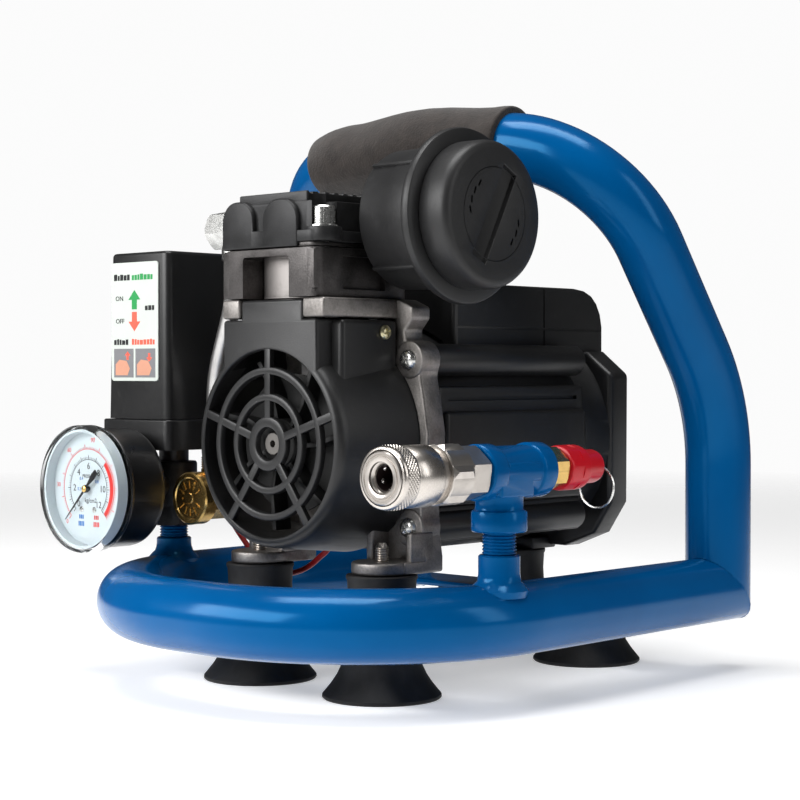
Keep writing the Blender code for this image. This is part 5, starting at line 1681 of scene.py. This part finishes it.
@dataclass
class Switch:
    """Pressure switch: its cover pulls up to start and pushes down to stop."""

    bench: Bench
    low: float = 116.3
    high: float = 194.0

    def _box(self, x: Point, y: Point, z: Point, corner: float, rim: float) -> Solid:
        """A box with rounded upright corners and a softly rounded top.

        Args:
            x: Its sides.
            y: Its front and back.
            z: Its foot and top.
            corner: Radius of the upright corners.
            rim: Radius of the top edge.

        Returns:
            The box.
        """
        shape = Solid.slab(x, y, z)
        sharp = [e for e in shape.bm.edges if abs(e.verts[0].co.z - e.verts[1].co.z) > 0.5]
        bmesh.ops.bevel(shape.bm, geom=sharp, offset=corner, offset_type="OFFSET", affect="EDGES", segments=6,
                        profile=0.5, material=-1)
        return shape.eased(rim, 4, 50, lambda p: p.z > z[1] - 0.1)

    def _print(self) -> None:
        """Generic marks on the label: arrows, two words and two picture panels."""
        x, _ = LEFT_STACK
        skin = (51.18, 51.5)

        def stretched(place: Vector) -> Vector:
            """Fit a print drawn on a 28 by 54 sheet to the real sheet."""
            return Vector((x - 2.45 + (place.x - x) * 1.2, place.y, 161.7 + (place.z - 152.0) * 1.02))

        def lay(shape: Solid, finish: Finish, name: str) -> None:
            """Print a shape on the sheet."""
            self.bench.fit(name, shape.shaped(stretched), finish, body="switch_cap", slot="switch_label")

        def at(outline: Outline, finish: Finish, name: str, *more: Solid) -> None:
            """Print one flat shape."""
            lay(Solid.plate(outline, *skin, axis="Y").with_loose(*more), finish, name)

        def bars(left: float, right: float, z: float, tall: float, seed: int) -> list[Solid]:
            """A row of blurred word-like marks."""
            rng, place, made = random.Random(seed), left, []
            while place < right - 1.2:
                wide = rng.uniform(1.0, 1.9)
                made.append(Solid.slab((x + place, x + min(right, place + wide)), skin, (z, z + tall * rng.uniform(0.75, 1.0))))
                place += wide + 0.45
            return made

        up = [(x - 1.5, 157.6), (x + 1.5, 157.6), (x + 1.5, 162.0), (x + 3.6, 162.0), (x, 166.4), (x - 3.6, 162.0),
              (x - 1.5, 162.0)]
        down = [(p[0], 156.4 - (p[1] - 157.6)) for p in reversed(up)]
        at(up, Finish.INK_GREEN, "print_start_arrow", *bars(-1.5, 12.5, 171.0, 2.9, 4))
        at(down, Finish.INK_CORAL, "print_stop_arrow", *bars(-1.5, 12.5, 141.4, 2.7, 8))
        top = bars(-12.5, -2.2, 171.0, 2.9, 2)
        words = [Solid.lettering("ON", 2.2, 0.3, "Y", (x - 9.2, 51.3, 162.6)),
                 Solid.lettering("OFF", 2.2, 0.3, "Y", (x - 8.8, 51.3, 152.2))]
        side = bars(6.5, 12.0, 157.0, 2.2, 5)
        lay(Solid().with_loose(*top, *words, *side, *bars(-12.5, -2.2, 141.4, 2.7, 9)), Finish.INK_BLACK, "print_words")
        for sx in (-1, 1):
            left, right = (x - 12.6, x - 0.6) if sx < 0 else (x + 0.6, x + 12.6)
            hand = [(left + 1.0, 127.4), (right - 3.6, 127.4), (right - 2.2, 130.5), (right - 4.2, 134.0),
                    (left + 3.4, 134.6), (left + 1.0, 132.4)]
            lay(Solid.slab((left, right), (51.22, 51.5), (126.4, 139.6)), Finish.INK_GREY,
                f"print_panel_{'left' if sx < 0 else 'right'}")
            at(hand, Finish.INK_SKIN, f"print_hand_{'left' if sx < 0 else 'right'}")
            arrow = [(0.8, -1.9), (0.8, 0.6), (2.2, 0.6), (0.0, 3.0), (-2.2, 0.6), (-0.8, 0.6), (-0.8, -1.9)]
            middle = (left + right) / 2 + 2.4
            at([(middle + a * 0.8, 136.0 - sx * b * 0.8) for a, b in arrow], Finish.INK_CORAL,
               f"print_panel_arrow_{'left' if sx < 0 else 'right'}")

    def build(self) -> None:
        """Make the base, cover, label and gland."""
        x, y = LEFT_STACK
        def taper(place: Vector) -> Vector:
            """Draw the left side in towards the top."""
            if place.x < x - 10:
                place.x += 2.4 * (place.z - self.low) / (self.high - self.low)
            return place

        cover = self._box((x - 23.8, x + 20.4), (52, 94), (self.low, self.high), 3.6, 1.8).shaped(taper)
        cover.cut(Solid.slab((x - 19.4, x + 18.3), (54, 92), (110, 191.8)))
        self.bench.fit("switch_box_cover", cover, Finish.SWITCH, body="switch_cap", stands_for=["switch_cover"])
        base = self._box((x - 27.5, x + 21.5), (51.2, 95.0), (102, 116), 3.6, 0.8)
        base.joined(Solid.slab((x - 16, x + 16), (57, 89), (115, 165))).cut(
            Solid.bar(3, 60, 104, "Z", (x, y, 0), 24), Solid.bar(3, 90, 99, "Y", (x, 0, 109), 24))
        self.bench.fit("switch_box_base", base, Finish.SWITCH, stands_for=["switch_base"])
        label = Solid.slab((x - 19.5, x + 14.6), (51.3, 51.95), (134, 189.4))
        sharp = [e for e in label.bm.edges if abs(e.verts[0].co.y - e.verts[1].co.y) > 0.3]
        bmesh.ops.bevel(label.bm, geom=sharp, offset=1.8, offset_type="OFFSET", affect="EDGES", segments=5,
                        profile=0.5, material=-1)
        self.bench.fit("switch_sticker", label, Finish.LABEL, body="switch_cap", stands_for=["switch_label"])
        self._print()
        ribs = [(6.0, 104.0), (6.6, 104.4), (6.6, 105.4), (5.6, 105.8), (6.3, 106.4), (6.3, 107.2), (5.3, 107.6),
                (6.0, 108.2), (6.0, 109.0), (5.2, 110)]
        gland = Solid.turned([(3, 95.3), (9.5, 95.3), (9.5, 98.6), (9.0, 99.2), (7.6, 99.8), (7.0, 103.6)] + ribs
                             + [(3, 110)], "Y", (x, 0, 109), 48)
        self.bench.fit("gland", gland, Finish.RUBBER, stands_for=["cord_gland"])
        LOG.info("pressure switch")


@dataclass
class Outlet:
    """Blue tee with the quick coupler in front and the red-capped relief valve behind."""

    bench: Bench

    @property
    def run(self) -> tuple[float, float, float]:
        """Axis of the tee's run."""
        return (RIGHT_STACK[0], 0.0, 98.0)

    def _tee(self) -> Solid:
        """Painted cast tee with banded ports."""
        x, y = RIGHT_STACK
        run = Solid.turned([(0, 59.7), (10.7, 59.7), (11.4, 60.4), (11.4, 67.6), (11.1, 68.3), (10.5, 68.8), (10.3, 69.4),
                            (10.3, 90.0), (10.5, 90.8), (11.1, 91.3), (11.4, 92.0), (11.4, 99.1), (10.7, 99.8), (0, 99.8)],
                           "Y", self.run, 72)
        drop = Solid.turned([(0, 73.7), (10.8, 73.7), (11.4, 74.3), (11.4, 81.4), (11.1, 82.1), (10.0, 82.7), (9.8, 83.4),
                             (9.8, 98), (0, 98)], "Z", (x, y, 0), 72)
        body = run.joined(drop, Solid.slab((x - 10.1, x + 10.1), (y - 10.2, y + 10.2), (88, 98)).eased(1.0, 3),
                          Solid.slab((x - 9.6, x + 10.25), (69, 90.5), (94, 102)).eased(1.2, 3))
        return body.cut(Solid.bar(7.2, 50, 69, "Y", self.run, 40), Solid.bar(7.2, 90.3, 110, "Y", self.run, 40),
                        Solid.bar(7.2, 70, 82.5, "Z", (x, y, 0), 40)).eased(0.35, 2, 40)

    def _coupler(self) -> Solid:
        """Plated coupler body: stepped mouth, hexagon and threaded neck."""
        mouth = Solid.turned([(5.1, 8.2), (5.5, 7.4), (6.2, 6.9), (6.3, 5.9), (6.6, 5.7), (8.2, 5.7), (8.4, 6.1),
                              (8.9, 6.1), (9.1, 5.8), (9.9, 5.8), (10.4, 6.3), (10.4, 34), (11.6, 34.2), (12.0, 34.7),
                              (12.0, 46.4), (9.6, 47.0), (8.8, 47.8), (8.8, 57.6), (7.4, 58.2), (6.8, 59)] + thread(6.8, 59.2, 68)
                             + [(3, 68.6), (3, 30), (5.1, 29.6)], "Y", self.run, 72)
        return mouth.with_loose(hexagon(13.2, 33.9, 46.3, "Y", self.run, 0.12, 2.6),
                                hexagon(11.2, 47.6, 58.6, "Y", self.run, 0.35, 0.8))

    def _balls(self) -> Solid:
        """Locking balls in the mouth."""
        made = Solid()
        for x, z in ring_points(5.6, 6, 0.3):
            bm = bmesh.new()
            bmesh.ops.create_icosphere(bm, subdivisions=3, radius=1.5)
            made.with_loose(Solid(bm).moved((self.run[0] + x, 12.5, self.run[2] + z)))
        return made

    def _sleeve(self) -> Solid:
        """Sliding sleeve with a diamond-knurled grip."""
        rows = 24
        grip = [(12.25, 8.4 + 6.0 * i / rows) for i in range(rows + 1)]
        profile = [(10.8, 6.4), (11.6, 6.4), (12.0, 6.8), (12.1, 7.5), (12.25, 7.9)] + grip + [
            (12.2, 14.8), (11.9, 15.0), (11.9, 15.6), (12.15, 15.9), (12.2, 29.0), (11.8, 29.8),
            (11.4, 30), (10.8, 30)]
        sleeve = Solid.turned(profile, "Y", self.run, 288)

        def knurl(place: Vector) -> Vector:
            """Raise the diamonds of the grip."""
            if not 8.4 <= place.y <= 14.4:
                return place
            out = Vector((place.x - self.run[0], 0, place.z - self.run[2]))
            if out.length < 11.9:
                return place
            turn, travel = math.atan2(out.z, out.x) * 48, (place.y - 8.4) * 4.2
            ridge = max(abs(math.sin((turn + travel) / 2)), abs(math.sin((turn - travel) / 2)))
            fade = min(1.0, (place.y - 8.4) / 0.4, (14.4 - place.y) / 0.4)
            return place + out.normalized() * (0.30 * (1.0 - ridge ** 2 * 1.5) * max(0.0, fade))
        return sleeve.shaped(knurl)

    def _relief_valve(self) -> None:
        """Brass body, red cap, stem and the split pull ring."""
        bench, run = self.bench, self.run
        body = Solid.turned([(3, 90.7)] + thread(6.8, 90.9, 99.6) + [(6.8, 100.0), (8.0, 100.4), (8.0, 111), (5.8, 111.2),
                            (5.8, 124), (2.5, 124), (2.5, 108), (3, 108)], "Y", run, 56)
        bench.fit("relief_body", body.with_loose(hexagon(9.2, 101, 110.6, "Y", run, 0.35, 1.0)), Finish.BRASS,
                  stands_for=["safety_body"])
        grips = [(8.4, 111.5), (9.2, 111.9), (9.5, 112.7), (9.5, 113.6)]
        cap = Solid.turned([(6.2, 111.5)] + grips + [(9.5, 123.2), (9.3, 124.3), (8.4, 125.2), (7.4, 125.8),
                           (7.2, 126.6), (7.2, 135.0), (6.9, 136.1), (6.0, 136.7), (4.0, 136.8), (2.6, 136.8),
                           (2.6, 124.4), (6.2, 124.4)], "Y", run, 96)
        skirt = Solid.bar(9.9, 105, 121.5, "Y", run, 8, 0.2)
        collar = Solid.bar(11, 119.5, 140, "Y", run, 8, 0.2).joined(skirt)
        bench.fit("relief_cap", cap.kept(collar), Finish.RED, stands_for=["safety_cap"])
        stem = Solid.turned([(0, 95), (2.2, 95), (2.2, 141.2), (1.9, 142.2), (1.2, 142.6), (0, 142.6)], "Y", run, 40)
        stem.cut(Solid.bar(1.3, -5, 5, "X", (run[0], 139.6, run[2]), 24))
        bench.fit("relief_stem_rod", stem, Finish.BRASS, body="relief_stem", stands_for=["safety_stem"])
        turns = []
        for i in range(49):
            a = math.pi / 2 + 4 * math.pi * i / 48
            turns.append((run[0] + 9.0 * math.cos(a), 139.6 - 0.42 + 0.84 * i / 48, run[2] - 9.0 + 9.0 * math.sin(a)))
        bench.fit("split_ring", Solid.strand(turns, 0.42, 12, 4), Finish.ZINC, body="relief_ring",
                  stands_for=["safety_ring"])

    def build(self) -> None:
        """Make everything on the right-hand socket."""
        self.bench.fit("blue_tee", self._tee(), Finish.BLUE, stands_for=["tee"])
        self.bench.fit("coupler", self._coupler(), Finish.DULL_NICKEL, stands_for=["coupler_body"])
        self.bench.fit("coupler_balls", self._balls(), Finish.BALL, slot="coupler_body")
        # Dark shell over the bore wall with a disc at its back: painted shade inside the coupler mouth.
        bore_shade_shell = Solid.turned([(4.9, 8.6), (5.05, 8.6), (5.05, 27.0), (0, 27.0), (0, 26.2), (4.9, 26.0)], "Y", self.run, 56)
        self.bench.fit("coupler_bore_painted_shade", bore_shade_shell, Finish.BORE, slot="coupler_body")
        self.bench.fit("knurled_sleeve", self._sleeve(), Finish.NICKEL, body="sleeve", stands_for=["coupler_sleeve"],
                       crease=50)
        self._relief_valve()
        LOG.info("tee, coupler and relief valve")


# ---------------------------------------------------------------- stage

@dataclass
class Stage:
    """Pale floor, soft studio lights and the camera."""

    eye: tuple[float, float, float] = (0.5984, -0.62495, 0.1377)
    azimuth: float = 43.1
    pitch: float = 0.82
    lens: float = 85.05

    def _floor(self) -> None:
        """A pale floor that fades into the background."""
        bm = bmesh.new()
        bmesh.ops.create_circle(bm, cap_ends=True, segments=96, radius=3.0)
        mesh = bpy.data.meshes.new("studio_floor")
        bm.to_mesh(mesh)
        bm.free()
        s = Sheet("studio_floor")
        distance = s.add("ShaderNodeVectorMath", {"operation": "LENGTH"}, {0: s.place()}, "Value")
        clear = s.add("ShaderNodeBsdfTransparent")
        fade = distance.above(1.1, 1.5)
        mixed = s.add("ShaderNodeMixShader", None, {0: fade, 1: Wire(s, s.shader.outputs[0]), 2: clear})
        s.tree.links.new(mixed.socket, s.tree.nodes["Material Output"].inputs["Surface"])
        s.done(Base_Color=(0.90, 0.90, 0.90), Roughness=0.6, Specular_IOR_Level=0.1,
               Emission_Color=(1.0, 1.0, 1.0), Emission_Strength=0.40)
        mesh.materials.append(s.material)
        floor = bpy.data.objects.new("studio_floor", mesh)
        bpy.context.scene.collection.objects.link(floor)

    def _world(self) -> None:
        """White background with a weaker white surround for the reflections."""
        world = bpy.data.worlds.new("studio")
        bpy.context.scene.world = world
        world.use_nodes = True
        tree = world.node_tree
        back = tree.nodes["Background"]
        back.inputs["Color"].default_value = (1.0, 1.0, 1.0, 1.0)
        path = tree.nodes.new("ShaderNodeLightPath")
        level = tree.nodes.new("ShaderNodeMapRange")
        level.inputs["To Min"].default_value = 0.055
        level.inputs["To Max"].default_value = 0.97
        tree.links.new(path.outputs["Is Camera Ray"], level.inputs["Value"])
        tree.links.new(level.outputs["Result"], back.inputs["Strength"])

    def _softbox(self, name: str, place: Point, aim: Point, size: tuple[float, float], power: float) -> None:
        """Hang one soft light.

        Args:
            name: Name of the light.
            place: Where it hangs, in metres.
            aim: What it points at.
            size: Its width and height.
            power: Its power in watts.
        """
        light = bpy.data.lights.new(name, "AREA")
        light.shape = "RECTANGLE"
        light.size, light.size_y = size
        light.energy = power
        lamp = bpy.data.objects.new(name, light)
        lamp.location = place
        lamp.rotation_euler = (Vector(aim) - Vector(place)).to_track_quat("-Z", "Y").to_euler()
        bpy.context.scene.collection.objects.link(lamp)

    def build(self) -> None:
        """Set the stage."""
        camera = bpy.data.cameras.new("studio_camera")
        camera.lens, camera.sensor_width = self.lens, 36.0
        camera.clip_start, camera.clip_end = 0.05, 50.0
        view = bpy.data.objects.new("studio_camera", camera)
        view.location = self.eye
        view.rotation_euler = (math.radians(90.0 - self.pitch), 0.0, math.radians(self.azimuth))
        bpy.context.scene.collection.objects.link(view)
        bpy.context.scene.camera = view
        bpy.context.scene.view_settings.view_transform = "Standard"
        self._floor()
        self._world()
        self._softbox("key_front_left", (-0.35, -1.05, 0.60), (0.0, 0.0, 0.12), (1.10, 0.55), 17.0)
        self._softbox("strip_above", (0.05, -0.10, 1.10), (0.0, 0.0, 0.1), (0.85, 0.40), 9.5)
        self._softbox("strip_right", (1.05, 0.25, 0.55), (0.0, 0.0, 0.12), (0.26, 0.80), 2.0)
        LOG.info("stage, lights and camera")


def main() -> None:
    """Build the machine piece by piece."""
    logging.basicConfig(level=logging.INFO, format="%(message)s")
    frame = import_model()
    Stage().build()
    bench = Bench()
    dress(frame, {"rotor": Finish.STEEL, "eccentric": Finish.STEEL, "bearing_front": Finish.STEEL,
                  "bearing_rear": Finish.STEEL, "stator": Finish.STEEL, "piston_rod": Finish.SATIN,
                  "piston_seal": Finish.PTFE, "filter_element": Finish.FELT})
    for part in (TankFrame(bench), Footing(bench), Crankcase(bench), FanCover(bench), PumpTop(bench), Fan(bench),
                 Motor(bench), IntakeFilter(bench), Delivery(bench), Gauge(bench), Switch(bench), Outlet(bench)):
        part.build()


if __name__ == "__main__":
    main()
